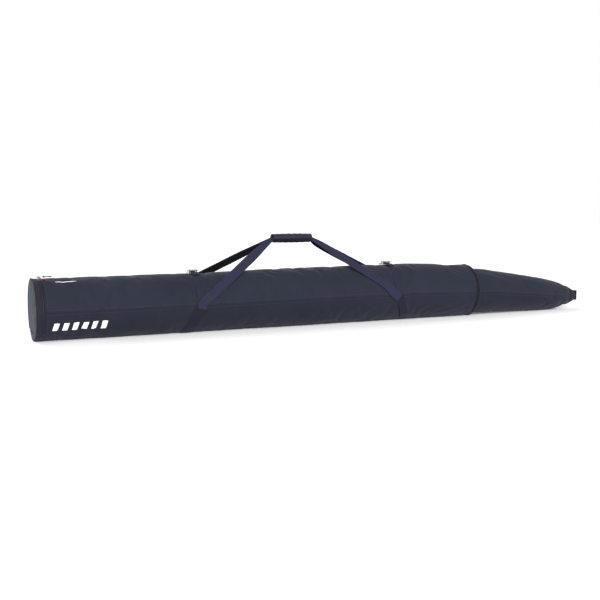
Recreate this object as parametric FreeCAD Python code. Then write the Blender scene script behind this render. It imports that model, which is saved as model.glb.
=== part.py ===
import FreeCAD, Part
import math
import os

# Extendable padded ski bag lying on its belly. Millimetres, +Z up, z = 0 is the floor.
# X runs along the bag: the wide zipped end is at -X, the telescoping tail at +X.
# "Run" is the distance from the wide end, so X = run - LENGTH / 2.

# ---------------------------------------------------------------- driving dimensions
LENGTH = 2100.0
FABRIC = 1.5            # outer fabric
FOAM = 5.0              # padding of the main section
LINING = 1.0            # inner lining
WEBBING = 1.5           # thickness of every strap
GAP = 0.3               # clearance between pieces that move apart

# Main section: run, height of the top, half width. The belly is pressed flat on the floor.
MAIN_STATIONS = [
    (0, 184, 93), (200, 184, 93), (520, 186, 94), (876, 193, 95.5), (1271, 196, 96),
    (1400, 192, 95), (1487, 186, 93.5), (1562, 186, 93),
]
MAIN_SPANS = 14         # the stations are spread into this many even spans before lofting
BELLY = -2.0            # lowest point of the round section before the floor flattens it
SEAM_Z = 88.0           # seam between the upper and the lower panel
MOUTH_RUN = 1555.0      # mouth of the main section, where the tail comes out
PADDED_RUN = (34.0, 1550.0)  # the padding and the lining stop short of both ends
MOUTH_BINDING = 1.3     # thickness of the webbing folded over the mouth
MOUTH_BINDING_BACK = 12.0
MOUTH_BINDING_LIP = 2.0

# Tail: run, height of the top, half width, height of the bottom beyond the straight belly.
TAIL_START = 1450.0
TAIL_STATIONS = [
    (1440, 171, 82, None), (1555, 171, 82, None), (1630, 169, 81, None),
    (1716, 156, 76, None), (1861, 134, 68, None), (1955, 116, 58, None),
    (2011, 101, 47, 10), (2045, 86, 34, 20), (2072, 72, 22, 30),
]
TAIL_SPANS = 16
TAIL_TOUCH_RUN = 1961.0  # where the tail's belly reaches the floor
TAIL_LIFT = 6.2          # height of the tail's belly at the mouth
TAIL_SLOPE = TAIL_LIFT / (TAIL_TOUCH_RUN - MOUTH_RUN)
TAIL_END = 2072.0
TAIL_SEAM_Z = (88.0, 50.0)   # seam height at the collar and at the tip
HEM_THICK = 1.0
HEM_LENGTH = 24.0       # the hem that stops the tail from leaving the mouth
TIP_BINDING = 1.2
TIP_BINDING_RUN = 2044.0

# Zipped round end
END_RADIUS = 93.0
END_CENTRE_Z = BELLY + END_RADIUS
CHORD_Z = 24.0          # fold line of the end flap
PANEL_RUN = 1.0         # outer face of the end panel, and the flap's fold axis
GUSSET_END = 14.0       # the flap's gusset ends and its zip tape starts
FLAP_TAPE_END = 20.4
BAG_TAPE_START = 22.8
SHELL_START = 29.2
PIPING_R = 1.6
COIL_R = 1.1
STOP_ANGLE = 134.0      # from the top of the round end
STOP_RUN = (21.9, 26.0)
STOP_HALF = 1.6
SILL_THICK = 4.0

# Zip sliders, angles measured from the top of the round end, positive to the front (-Y)
FRONT_SLIDER_ANGLE = 16.0
REAR_SLIDER_ANGLE = -5.0
SLIDER_LENGTH = 16.0
SLIDER_WIDTH = 12.0
SLIDER_PLATE = 1.6
SLIDER_OVER = 2.6       # top plate above the outside of the tape
SLIDER_UNDER = 1.6      # lower plate below the inside of the tape
SLIDER_HEEL = 0.62      # share of the width at the heel
BAIL_HEIGHT = 4.2
BAIL_WIRE = 1.4
BAIL_HALF = 3.4
BAIL_DEPTH = 1.0
PULL_SKEW = 45.0        # the front pull lies down the shoulder at this angle
PULL_WIRE = 1.2
PULL_CORD_R = 2.3
PULL_LENGTH = 37.0
PULL_RING = 15.0        # length of the wire ring from its axis
PULL_RING_HALF = 4.8
FERRULE_LENGTH = 4.6
FERRULE_WALL = 0.6

# Straps
LEFT_STRAP_RUN = 496.0
RIGHT_STRAP_RUN = 1210.0
STRAP_WIDTH = 25.0
CARRY_WIDTH = 30.0
LEFT_SLING_SHIFT = -40.0   # how far each sling slants along X from a side seam to the floor
RIGHT_SLING_SHIFT = 52.0
PATCH_HALF = 18.0          # half length of an anchor patch
PATCH_HEIGHT = 16.0
LEG_ANGLES = (84.0, 73.0, 63.0)   # where a carry leg still lies on the side, from the top
LEG_RADII = (94.0, 96.5)          # left and right, round the leg's centre height
LEG_LIFT = (3.4, 5.8)             # front, and rear where it crosses the compression strap
LOOP_LEVEL = 2.2                  # the two loops lie one over the other inside the grip
LEFT_FEET = (8.0, 22.5)    # how far a carry leg leans in at 84 degrees, and for each step up
RIGHT_FEET = (28.0, 21.0)

# Wrapped grip
GRIP_RUN = (773.0, 914.0)
GRIP_CENTRE_Z = 292.8
GRIP_OVAL = 1.5         # how much wider than tall, each side
SLEEVE_IN = 8.6
SLEEVE_OUT = 13.0
STRIP_THICK = 0.7       # each half of the touch fastener
FLAP_IN = 14.7
FLAP_OUT = 16.2
SLEEVE_INSET = 2.0
STRIP_INSET = 12.0
STRIP_ANGLES = (4, 38)

# Cam buckle, heights above the strap that it sits on
BUCKLE_WIDTH = 31.0
BUCKLE_LENGTH = 36.0
PLATE = 1.6
PIN_R = 1.5
PIN_CLEARANCE = 0.06
PIN_HEIGHT = 7.6
HEAD_R = 2.4
HEAD_THICK = 1.2
EAR_R = 4.6
EAR_HALF = 6.0
HUB_R = 4.2
HUB_HALF = 8.6
CAM_TEETH = 5
TOOTH_ANGLE = 250.0     # first tooth, and the step to the next
TOOTH_STEP = 12.0
TOOTH_R = 0.28
TAB_WIDTH = 23.0
SPRING_WIRE_R = 0.45
SPRING_PITCH = 1.2
SPRING_LENGTH = 3.6

# Plain marks where a real bag carries its print
BAR_COUNT = 6
BAR_PITCH = 28.0
BAR_START = 45.0
BAR_WIDTH = 15.0
BAR_LEAN = 6.0
BAR_Z = (37.0, 59.0)
BAR_THICK = 0.4
LABEL_RUN = (62.0, 124.0)
LABEL_Y = (-41.5, -36.5)
LABEL_THICK = 0.6

# Grab tab beyond the tail's tip
TAB_ROOT_GAP = 1.6
TAB_STEM = 8.0
TAB_Z = (32.0, 70.0)
TAB_STEM_HALF = 2.2
TAB_WALL = 2.0

X_AXIS = FreeCAD.Vector(1, 0, 0)
Y_AXIS = FreeCAD.Vector(0, 1, 0)
Z_AXIS = FreeCAD.Vector(0, 0, 1)
REACH = 130.0           # half width of every cutting block, beyond the widest section
SECTION_POINTS = 16


# ---------------------------------------------------------------- helpers
def x_at(run):
    return run - LENGTH / 2


def vec(run, y, z):
    return FreeCAD.Vector(x_at(run), y, z)


def box(run_low, run_high, y_low, y_high, z_low, z_high):
    return Part.makeBox(run_high - run_low, y_high - y_low, z_high - z_low, vec(run_low, y_low, z_low))


def slab(run_low, run_high, z_low=-50.0, z_high=400.0):
    return box(run_low, run_high, -REACH, REACH, z_low, z_high)


def prism(points, y_low=-REACH, y_high=REACH):
    """A side outline of (run, z) points, extruded across the bag."""
    outline = [vec(run, y_low, z) for run, z in points]
    face = Part.Face(Part.makePolygon(outline + outline[:1]))
    return face.extrude(FreeCAD.Vector(0, y_high - y_low, 0))


def section(run, top, bottom, half_width):
    """An oval across the bag. It starts at the belly, so that the loft's seam lies there."""
    centre_z = (top + bottom) / 2
    half_height = (top - bottom) / 2
    points = []
    for i in range(SECTION_POINTS):
        turn = 2 * math.pi * i / SECTION_POINTS
        points.append(vec(run, half_width * math.sin(turn), centre_z - half_height * math.cos(turn)))
    curve = Part.BSplineCurve()
    curve.interpolate(Points=points, PeriodicFlag=True)
    return Part.Wire(curve.toShape())


def spread(stations, spans):
    """Stations at even spacing, in line between the stated ones, so that the loft runs evenly."""
    first, last = stations[0][0], stations[-1][0]
    spread_out = []
    for i in range(spans + 1):
        run = first + (last - first) * i / spans
        for low, high in zip(stations, stations[1:]):
            if run <= high[0] + 1e-6:
                share = (run - low[0]) / (high[0] - low[0])
                spread_out.append([a + (b - a) * share for a, b in zip(low, high)])
                break
    return spread_out


def main_body(grow):
    wires = []
    for run, top, half in spread(MAIN_STATIONS, MAIN_SPANS):
        wires.append(section(run, top + grow, BELLY - grow, half + grow))
    return Part.makeLoft(wires, True, False)


def straight_belly(run):
    """The tail's belly runs straight from the mouth down to the floor, along its slide."""
    return TAIL_LIFT - (run - MOUTH_RUN) * TAIL_SLOPE


def tail_body(grow):
    stations = []
    for run, top, half, bottom in TAIL_STATIONS:
        stations.append((run, top, half, straight_belly(run) if bottom is None else bottom))
    wires = []
    for run, top, half, bottom in spread(stations, TAIL_SPANS):
        wires.append(section(run, top + grow, bottom - grow, half + grow))
    return Part.makeLoft(wires, True, False)


def skin(outer, inner, block, floor_inner=0.0):
    """The layer between two bodies inside a block, with its own thickness kept on the floor."""
    above = slab(-60, LENGTH + 60, 0.0)
    held = outer.common(above).common(block)
    return held.cut(inner.common(slab(-60, LENGTH + 60, floor_inner)))


def ring(outer_r, inner_r, run_low, run_high, z_low=0.0, z_high=400.0):
    """A band round the circular end, or a disc where the inner radius is 0, between two levels."""
    centre = vec(run_low, 0, END_CENTRE_Z)
    band = Part.makeCylinder(outer_r, run_high - run_low, centre, X_AXIS)
    if inner_r > 0:
        band = band.cut(Part.makeCylinder(inner_r, run_high - run_low, centre, X_AXIS))
    return band.common(slab(run_low - 1, run_high + 1, z_low, z_high))


def turned(shape, angle):
    """A piece made at the top of the round end, carried round it towards the front."""
    moved = shape.copy()
    moved.rotate(vec(0, 0, END_CENTRE_Z), X_AXIS, angle)
    return moved


def rod(run_low, run_high, y, z, radius):
    return Part.makeCylinder(radius, run_high - run_low, vec(run_low, y, z), X_AXIS)


def oval_tube(run_low, run_high, outer, inner, lower, upper):
    """A length of oval tube round the grip's centre line, between two angles from the front."""
    def oval(size):
        points = []
        for i in range(SECTION_POINTS):
            turn = 2 * math.pi * i / SECTION_POINTS
            y = -(size + GRIP_OVAL) * math.cos(turn)
            points.append(vec(run_low, y, GRIP_CENTRE_Z + size * math.sin(turn)))
        curve = Part.BSplineCurve()
        curve.interpolate(Points=points, PeriodicFlag=True)
        face = Part.Face(Part.Wire(curve.toShape()))
        return face.extrude(FreeCAD.Vector(run_high - run_low, 0, 0))

    tube = oval(outer).cut(oval(inner))
    if upper - lower >= 360:
        return tube
    wedge = [vec(run_low - 1, 0, GRIP_CENTRE_Z)]
    steps = 8
    for i in range(steps + 1):
        angle = math.radians(lower + (upper - lower) * i / steps)
        wedge.append(vec(run_low - 1, -60 * math.cos(angle), GRIP_CENTRE_Z + 60 * math.sin(angle)))
    cutter = Part.Face(Part.makePolygon(wedge + wedge[:1]))
    return tube.common(cutter.extrude(FreeCAD.Vector(run_high - run_low + 2, 0, 0)))


def ribbon(stations):
    """A strap through (centre, outward normal, width, thickness) stations, as a ruled solid."""
    wires = []
    for i, (centre, normal, width, thickness) in enumerate(stations):
        before = stations[max(i - 1, 0)][0]
        after = stations[min(i + 1, len(stations) - 1)][0]
        along = (after - before).normalize()
        across = normal.cross(along).normalize()
        up = along.cross(across).normalize()
        half = across * (width / 2)
        lift = up * thickness
        corners = [centre - half, centre + half, centre + half + lift, centre - half + lift]
        wires.append(Part.makePolygon(corners + corners[:1]))
    return Part.makeLoft(wires, True, True)


def save(name, shape):
    solids = shape.Solids
    if not solids or not shape.isValid():
        print("BAD", name, len(solids), shape.isValid())
    result = solids[0] if len(solids) == 1 else Part.makeCompound(solids)
    result.exportStep("parts/" + name + ".step")
    print(name, len(solids), round(shape.Volume / 1000, 2), "cm3")


# ---------------------------------------------------------------- main section
def main_section(body):
    """Panels, padding and lining of the main section, and the bound edge of its mouth."""
    fabric_in = main_body(-FABRIC)
    foam_in = main_body(-FABRIC - FOAM)
    lining_in = main_body(-FABRIC - FOAM - LINING)
    shell = skin(body, fabric_in, slab(SHELL_START, MOUTH_RUN), FABRIC)
    pieces = {
        "upper_panel": shell.common(slab(0, LENGTH, SEAM_Z)),
        "lower_panel": shell.common(slab(0, LENGTH, -5, SEAM_Z)),
        "foam_padding": skin(fabric_in, foam_in, slab(*PADDED_RUN, FABRIC)),
        "main_lining": skin(foam_in, lining_in, slab(*PADDED_RUN, FABRIC)),
    }
    bound = main_body(MOUTH_BINDING)
    rim = skin(bound, body, slab(MOUTH_RUN - MOUTH_BINDING_BACK, MOUTH_RUN))
    lip = skin(bound, lining_in, slab(MOUTH_RUN, MOUTH_RUN + MOUTH_BINDING_LIP))
    pieces["mouth_binding"] = rim.fuse(lip)
    return pieces


def anchor_runs():
    """Where the carry webbing crosses the side seams: each sling slants on under the belly."""
    return {
        "left": (LEFT_STRAP_RUN, LEFT_STRAP_RUN + 2 * LEFT_SLING_SHIFT),
        "right": (RIGHT_STRAP_RUN, RIGHT_STRAP_RUN + 2 * RIGHT_SLING_SHIFT),
    }


def slings(body):
    """Carry webbing that slants down the front, under the belly, and on up the rear."""
    outer = main_body(WEBBING)
    half = CARRY_WIDTH / 2
    pieces = {}
    for side, (front, rear) in anchor_runs().items():
        belly = (front + rear) / 2
        halves = []
        for run, y_low, y_high in ((front, -REACH, 0), (rear, 0, REACH)):
            outline = [(run - half, SEAM_Z), (run + half, SEAM_Z), (belly + half, -1), (belly - half, -1)]
            halves.append(skin(outer, body, prism(outline, y_low, y_high), WEBBING))
        pieces[side + "_sling"] = halves[0].fuse(halves[1])
    return pieces


def anchor_patches(body):
    """Four box-stitched patches where the carry webbing and the slings meet."""
    blocks = []
    for front, rear in anchor_runs().values():
        for run, y_low, y_high in ((front, -REACH, 0), (rear, 0, REACH)):
            z_low = SEAM_Z - PATCH_HEIGHT
            blocks.append(box(run - PATCH_HALF, run + PATCH_HALF, y_low, y_high, z_low, SEAM_Z))
    layer = main_body(2 * WEBBING).cut(main_body(WEBBING + 0.02))
    return Part.makeCompound([layer.common(block) for block in blocks])


def generic_marks(body):
    """A plain row of slanted bars on the front, and a small blank label on the shoulder."""
    layer = main_body(BAR_THICK).cut(body)
    bottom, top = BAR_Z
    bars = []
    for i in range(BAR_COUNT):
        low = BAR_START + i * BAR_PITCH
        high = low + BAR_WIDTH
        outline = [(low, bottom), (high, bottom), (high + BAR_LEAN, top), (low + BAR_LEAN, top)]
        bars.append(layer.common(prism(outline, -REACH, 0)))
    shoulder = box(*LABEL_RUN, *LABEL_Y, SEAM_Z, 2 * REACH)
    label = main_body(LABEL_THICK).cut(body).common(shoulder)
    return {"side_bars": Part.makeCompound(bars), "shoulder_label": label}


# ---------------------------------------------------------------- compression straps
def top_at(run, body):
    cut = body.slice(X_AXIS, x_at(run))[0]
    return max(point.z for point in cut.discretize(400))


def compression_strap(side, run, body, strap_layer):
    """Front and rear webbing, and a sprung cam buckle on top of the bag."""
    half = STRAP_WIDTH / 2
    base = top_at(run, body) + WEBBING + 0.1
    pieces = {}
    for name, y_low, y_high in (("front", -REACH, -3), ("rear", 3, REACH)):
        block = box(run - half, run + half, y_low, y_high, SEAM_Z, 300)
        pieces[side + "_" + name + "_strap"] = strap_layer.common(block)

    # The free end climbs from the rear strap over the plate, under the cam, and out in a hump.
    wide = BUCKLE_WIDTH / 2
    long = BUCKLE_LENGTH / 2
    over = base + PLATE + 0.02
    route = [
        (long + 6, base - 0.6), (long + 2, over), (-long, over), (-long - 4, over - 1.0),
        (-long - 12, over - 2.4), (-long - 12, over - 2.4 + WEBBING), (-long - 4, over - 1.0 + WEBBING),
        (-long, over + WEBBING), (long + 2, over + WEBBING), (long + 6, base - 0.6 + WEBBING),
    ]
    outline = [vec(run - half, y, z) for y, z in route]
    face = Part.Face(Part.makePolygon(outline + outline[:1]))
    pieces[side + "_strap_end"] = face.extrude(FreeCAD.Vector(STRAP_WIDTH, 0, 0))

    # Bent plate frame: a base with two ears, bored for the cam's pin.
    pin_z = base + PIN_HEIGHT
    frame = box(run - wide, run + wide, -long, long, base, base + PLATE)
    slot = box(run - half, run + half, long - 7, long - 4, base - 1, base + PLATE + 1)
    frame = frame.cut(slot)
    for low in (run - wide, run + wide - PLATE):
        ear = box(low, low + PLATE, -EAR_HALF, EAR_HALF, base, pin_z)
        frame = frame.fuse(ear.fuse(rod(low, low + PLATE, 0, pin_z, EAR_R)))
    bore = rod(run - wide - 1, run + wide + 1, 0, pin_z, PIN_R)
    pieces[side + "_buckle_frame"] = frame.cut(bore)

    pin = rod(run - wide - GAP, run + wide + GAP, 0, pin_z, PIN_R)
    for low in (run - wide - GAP - HEAD_THICK, run + wide + GAP):
        pin = pin.fuse(rod(low, low + HEAD_THICK, 0, pin_z, HEAD_R))
    pieces[side + "_cam_pin"] = pin

    # Cam lever: toothed hub between two springs, with a thumb tab to the front.
    hub_low, hub_high = run - HUB_HALF, run + HUB_HALF
    hub = rod(hub_low, hub_high, 0, pin_z, HUB_R)
    for i in range(CAM_TEETH):
        angle = math.radians(TOOTH_ANGLE + TOOTH_STEP * i)
        y, z = HUB_R * math.cos(angle), pin_z + HUB_R * math.sin(angle)
        hub = hub.fuse(rod(hub_low, hub_high, y, z, TOOTH_R))
    tab_outline = [
        (-2.0, pin_z + 4.0), (-12, pin_z + 3.4), (-21, pin_z + 1.6), (-24, pin_z + 2.6),
        (-23.4, pin_z + 4.2), (-20.5, pin_z + 3.4), (-12, pin_z + 5.2), (-1.0, pin_z + 4.18),
    ]
    tab_points = [vec(run - TAB_WIDTH / 2, y, z) for y, z in tab_outline]
    tab_face = Part.Face(Part.makePolygon(tab_points + tab_points[:1]))
    tab = tab_face.extrude(FreeCAD.Vector(TAB_WIDTH, 0, 0))
    neck = box(hub_low, hub_high, -4.5, 0, pin_z + 2.6, pin_z + 4.1)
    lever = hub.fuse(neck).fuse(tab)
    pieces[side + "_cam_lever"] = lever.cut(rod(run - wide, run + wide, 0, pin_z, PIN_R + PIN_CLEARANCE))

    # Torsion springs on the pin, one each side of the hub.
    coils = []
    for start in (run - wide + PLATE + 1.0, hub_high + 1.0):
        helix = Part.makeHelix(SPRING_PITCH, SPRING_LENGTH, PIN_R + SPRING_WIRE_R + GAP)
        helix.Placement = FreeCAD.Placement(vec(start, 0, pin_z), FreeCAD.Rotation(Y_AXIS, 90))
        first = helix.Edges[0].valueAt(helix.Edges[0].FirstParameter)
        along = helix.Edges[0].tangentAt(helix.Edges[0].FirstParameter)
        profile = Part.Wire(Part.makeCircle(SPRING_WIRE_R, first, along))
        coils.append(Part.Wire(helix.Edges).makePipeShell([profile], True, True))
    pieces[side + "_cam_spring"] = Part.makeCompound(coils)
    return pieces


# ---------------------------------------------------------------- zipped end
def zipped_end():
    """The round end flap, its fixed sill, both zip tapes with their coils, and the zip stops."""
    edge = CHORD_Z + GAP
    pieces = {}
    sill = ring(END_RADIUS, END_RADIUS - SILL_THICK, PANEL_RUN, SHELL_START, 0.0, CHORD_Z - GAP)
    sill_face = ring(END_RADIUS - 1, 0, PANEL_RUN, PANEL_RUN + FABRIC, 0.0, CHORD_Z - GAP)
    pieces["end_sill"] = sill.fuse(sill_face)

    outer = END_RADIUS
    inner = END_RADIUS - FABRIC
    pieces["end_panel"] = ring(outer, 0, PANEL_RUN, PANEL_RUN + FABRIC, edge)
    pieces["end_gusset"] = ring(outer, inner, PANEL_RUN + FABRIC, GUSSET_END, edge)
    pieces["end_padding"] = ring(inner, 0, PANEL_RUN + FABRIC, PANEL_RUN + FABRIC + FOAM, edge)
    cord = Part.makeTorus(END_RADIUS + 0.2 + PIPING_R, PIPING_R, vec(PIPING_R, 0, END_CENTRE_Z), X_AXIS)
    pieces["end_piping"] = cord.common(slab(-5, 10, CHORD_Z + 5))

    for name, low, high, coil_run in (
        ("flap_zip_tape", GUSSET_END, FLAP_TAPE_END, FLAP_TAPE_END - COIL_R),
        ("bag_zip_tape", BAG_TAPE_START, SHELL_START, BAG_TAPE_START + COIL_R),
    ):
        tape = ring(outer, inner, low, high, edge)
        coil = Part.makeTorus(END_RADIUS, COIL_R, vec(coil_run, 0, END_CENTRE_Z), X_AXIS)
        pieces[name] = tape.fuse(coil.common(slab(0, 60, edge)))

    # Each stop is a clamp that folds over the edge of the bag's tape, past the sliders' travel.
    clamp = box(*STOP_RUN, -STOP_HALF, STOP_HALF, END_CENTRE_Z + inner - 0.6, END_CENTRE_Z + outer + 1.9)
    stops = []
    for angle in (-STOP_ANGLE, STOP_ANGLE):
        stops.append(turned(clamp, angle).cut(pieces["bag_zip_tape"]))
    pieces["zip_stops"] = Part.makeCompound(stops)
    return pieces


def slider(name, angle, skew):
    """A zip slider that rides the closed chain round the end, with its pull on a bail."""
    middle = (FLAP_TAPE_END + BAG_TAPE_START) / 2
    half_length = SLIDER_LENGTH / 2
    half_width = SLIDER_WIDTH / 2
    top = END_CENTRE_Z + END_RADIUS + SLIDER_OVER
    under = END_CENTRE_Z + END_RADIUS - FABRIC - SLIDER_UNDER

    def plate(z_low, z_high):
        """A slider plate, narrower at the heel than at the two mouths."""
        nose = half_width * SLIDER_HEEL
        outline = [
            vec(middle - half_width, -half_length, z_low), vec(middle + half_width, -half_length, z_low),
            vec(middle + half_width, half_length * 0.3, z_low), vec(middle + nose, half_length, z_low),
            vec(middle - nose, half_length, z_low), vec(middle - half_width, half_length * 0.3, z_low),
        ]
        face = Part.Face(Part.makePolygon(outline + outline[:1]))
        return face.extrude(FreeCAD.Vector(0, 0, z_high - z_low))

    post = box(middle - 0.75, middle + 0.75, -half_length + 1, -half_length + 6, under, top)
    bail_z = top + SLIDER_PLATE
    body = plate(top, bail_z).fuse(plate(under - SLIDER_PLATE, under)).fuse(post)

    # The bail is an arch over the top plate, with its opening across the slider.
    leg = BAIL_HALF - BAIL_WIRE
    crown = bail_z + BAIL_HEIGHT
    arch = box(middle - BAIL_HALF, middle + BAIL_HALF, -BAIL_DEPTH, BAIL_DEPTH, bail_z, crown)
    arch = arch.cut(box(middle - leg, middle + leg, -3, 3, bail_z - 1, crown - 1.3))
    body = body.fuse(arch)

    # The pull: a wire ring through the bail, then a short corded grip lying on the shoulder.
    pull_z = bail_z + 1.35
    wire = PULL_WIRE / 2
    half = PULL_RING_HALF
    ring_out = middle + PULL_RING
    ring_in = ring_out - PULL_WIRE
    loop = box(middle - wire, ring_out, -half, half, pull_z - wire, pull_z + wire)
    half -= PULL_WIRE
    loop = loop.cut(box(middle + wire, ring_in, -half, half, pull_z - 2, pull_z + 2))
    cord_end = middle + PULL_LENGTH
    grip_cord = rod(ring_out + 0.4, cord_end, 0, pull_z, PULL_CORD_R)
    grip_cord = grip_cord.fuse(Part.makeSphere(PULL_CORD_R, vec(cord_end, 0, pull_z)))
    ferrule = rod(ring_in, ring_in + FERRULE_LENGTH, 0, pull_z, PULL_CORD_R + FERRULE_WALL)
    ferrule = ferrule.cut(rod(ring_out, ring_out + FERRULE_LENGTH, 0, pull_z, PULL_CORD_R))
    room = wire + 0.02
    half += 0.1
    ferrule = ferrule.cut(box(middle, ring_out + 0.05, -half, half, pull_z - room, pull_z + room))
    pieces = {}
    for part, shape in (("pull_wire", loop), ("pull_cord", grip_cord), ("pull_ferrule", ferrule)):
        swung = shape.copy()
        swung.rotate(vec(middle, 0, pull_z), Z_AXIS, skew)
        pieces[name + "_" + part] = turned(swung, angle)
    pieces[name + "_slider"] = turned(body, angle)
    return pieces


# ---------------------------------------------------------------- carry handle
def carry_loop(side, level):
    """Webbing from the left anchor, up through the grip and down to the right anchor."""
    centre_z = SEAM_Z + 4
    anchors = anchor_runs()
    which = 0 if side < 0 else 1
    left_radius, right_radius = [radius + LEG_LIFT[which] for radius in LEG_RADII]

    def on_side(run, angle, radius):
        turn = math.radians(angle)
        out = FreeCAD.Vector(0, side * math.sin(turn), math.cos(turn))
        return vec(run, 0, centre_z) + out * radius, out

    legs = []
    for run, toward, feet, radius in (
        (anchors["left"][which], 1, LEFT_FEET, left_radius),
        (anchors["right"][which], -1, RIGHT_FEET, right_radius),
    ):
        leg = []
        for step, angle in enumerate(LEG_ANGLES):
            place, out = on_side(run + toward * (feet[0] + feet[1] * step), angle, radius)
            leg.append((place, out, CARRY_WIDTH, WEBBING))
        legs.append(leg)

    # Each leg runs straight to the grip, narrows as it folds, and enters the sleeve flat.
    grip_z = GRIP_CENTRE_Z + level - 1.0
    slant = FreeCAD.Vector(0, side * 0.75, 0.66)
    for end, toward, leg in ((GRIP_RUN[0], 1, legs[0]), (GRIP_RUN[1], -1, legs[1])):
        leg.append((vec(end - toward * 34, side * 18, grip_z - 26), slant, 27.0, 2.0))
        leg.append((vec(end - toward * 4, side * 1.5, grip_z - 1.5), Z_AXIS, 15.0, 2.0))
        leg.append((vec(end + toward * 10, 0, grip_z), Z_AXIS, 14.0, 2.0))
    return ribbon(legs[0] + legs[1][::-1])


def grip():
    """The wrapped grip: a padded sleeve round the webbing, closed by an overlapping flap."""
    low, high = GRIP_RUN
    strip = (low + STRIP_INSET, high - STRIP_INSET)
    loops_out = SLEEVE_OUT + STRIP_THICK
    hooks_in = FLAP_IN - STRIP_THICK
    return {
        "grip_sleeve": oval_tube(low + SLEEVE_INSET, high - SLEEVE_INSET, SLEEVE_OUT, SLEEVE_IN, 0, 360),
        "grip_loop_strip": oval_tube(*strip, loops_out, SLEEVE_OUT, *STRIP_ANGLES),
        "grip_hook_strip": oval_tube(*strip, FLAP_IN, hooks_in, *STRIP_ANGLES),
        "grip_flap": oval_tube(low, high, FLAP_OUT, FLAP_IN, 1, 179),
    }


# ---------------------------------------------------------------- tail
def tail():
    """The telescoping tail, its lining, the hem inside the mouth, and the bound tip."""
    body = tail_body(0)
    fabric_in = tail_body(-FABRIC)
    lining_in = tail_body(-FABRIC - LINING)
    above = slab(TAIL_START, TAIL_END, 0.0)
    hollow = fabric_in.common(slab(TAIL_START - 5, TAIL_END - FABRIC))
    shell = body.common(above).cut(hollow)
    start, end = TAIL_START - 5, TAIL_END + 5
    start_z, end_z = TAIL_SEAM_Z
    upper = prism([(start, start_z), (end, end_z), (end, 300), (start, 300)])
    pieces = {
        "tail_upper_panel": shell.common(upper),
        "tail_lower_panel": shell.cut(upper),
        "tail_lining": hollow.common(above).cut(
            lining_in.common(slab(TAIL_START - 5, TAIL_END - FABRIC - LINING))),
    }
    pieces["tail_hem"] = tail_body(HEM_THICK).common(slab(TAIL_START, TAIL_START + HEM_LENGTH)).cut(body)
    proud = tail_body(TIP_BINDING).common(slab(TIP_BINDING_RUN, TAIL_END, 0.0))
    pieces["tail_tip_binding"] = proud.cut(body)

    # A doubled webbing tab beyond the tip: a narrow root, then an eye for one finger.
    low, high = TAB_Z
    root = TAIL_END + TAB_ROOT_GAP
    eye_r = (LENGTH - root - TAB_STEM) / 2
    centre_run = LENGTH - eye_r
    outer = Part.makeCylinder(eye_r, high - low, vec(centre_run, 0, low), Z_AXIS)
    stem = box(root, centre_run, -TAB_STEM_HALF, TAB_STEM_HALF, low, high)
    inner = Part.makeCylinder(eye_r - TAB_WALL, high - low + 4, vec(centre_run, 0, low - 2), Z_AXIS)
    pieces["tail_tab"] = outer.fuse(stem).cut(inner)
    return pieces


# ---------------------------------------------------------------- assembly
def build():
    os.makedirs("parts", exist_ok=True)
    body = main_body(0)
    pieces = main_section(body)
    sling_pieces = slings(body)
    for sling in sling_pieces.values():
        pieces["lower_panel"] = pieces["lower_panel"].cut(sling)
    pieces.update(sling_pieces)
    pieces["anchor_patches"] = anchor_patches(body)
    pieces.update(generic_marks(body))
    strap_layer = main_body(WEBBING).cut(body)
    for side, run in (("left", LEFT_STRAP_RUN), ("right", RIGHT_STRAP_RUN)):
        pieces.update(compression_strap(side, run, body, strap_layer))
    pieces.update(zipped_end())
    pieces.update(slider("front", FRONT_SLIDER_ANGLE, -PULL_SKEW))
    pieces.update(slider("rear", REAR_SLIDER_ANGLE, 0.0))
    pieces["front_carry_loop"] = carry_loop(-1, LOOP_LEVEL)
    pieces["rear_carry_loop"] = carry_loop(1, -LOOP_LEVEL)
    pieces.update(grip())
    pieces.update(tail())
    for name, shape in pieces.items():
        save(name, shape)


build()
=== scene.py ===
import math

import bmesh
import bpy
import numpy as np
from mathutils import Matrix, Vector, noise
from mathutils.bvhtree import BVHTree


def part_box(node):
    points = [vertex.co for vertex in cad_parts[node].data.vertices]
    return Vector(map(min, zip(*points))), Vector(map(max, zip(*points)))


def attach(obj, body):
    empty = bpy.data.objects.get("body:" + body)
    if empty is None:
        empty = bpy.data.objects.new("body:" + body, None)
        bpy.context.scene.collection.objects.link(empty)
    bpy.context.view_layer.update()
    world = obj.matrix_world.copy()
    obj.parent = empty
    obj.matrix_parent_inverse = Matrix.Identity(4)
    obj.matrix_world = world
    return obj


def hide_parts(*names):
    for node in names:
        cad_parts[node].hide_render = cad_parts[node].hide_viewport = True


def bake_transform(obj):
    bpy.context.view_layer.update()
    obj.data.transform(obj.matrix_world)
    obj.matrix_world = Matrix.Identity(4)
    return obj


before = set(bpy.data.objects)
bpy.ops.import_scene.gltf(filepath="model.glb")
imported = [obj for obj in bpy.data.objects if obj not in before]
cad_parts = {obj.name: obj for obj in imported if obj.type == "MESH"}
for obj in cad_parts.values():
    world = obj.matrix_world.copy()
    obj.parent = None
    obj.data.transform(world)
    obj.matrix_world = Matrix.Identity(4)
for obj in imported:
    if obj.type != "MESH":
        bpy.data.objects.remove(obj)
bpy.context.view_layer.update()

# Metres, in the CAD frame: X along the bag, -Y the printed front, Z up, floor at z = 0.
# "run" is the distance from the wide zipped end. "phi" goes round a section: 0 at the top,
# +90 degrees at the front seam, 180 at the belly, -90 at the rear seam.
LENGTH = 2.1
SEAM_Z = 0.088
MOUTH_RUN = 1.555
SHELL_START = 0.0292
BELLY = -0.002
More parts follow.
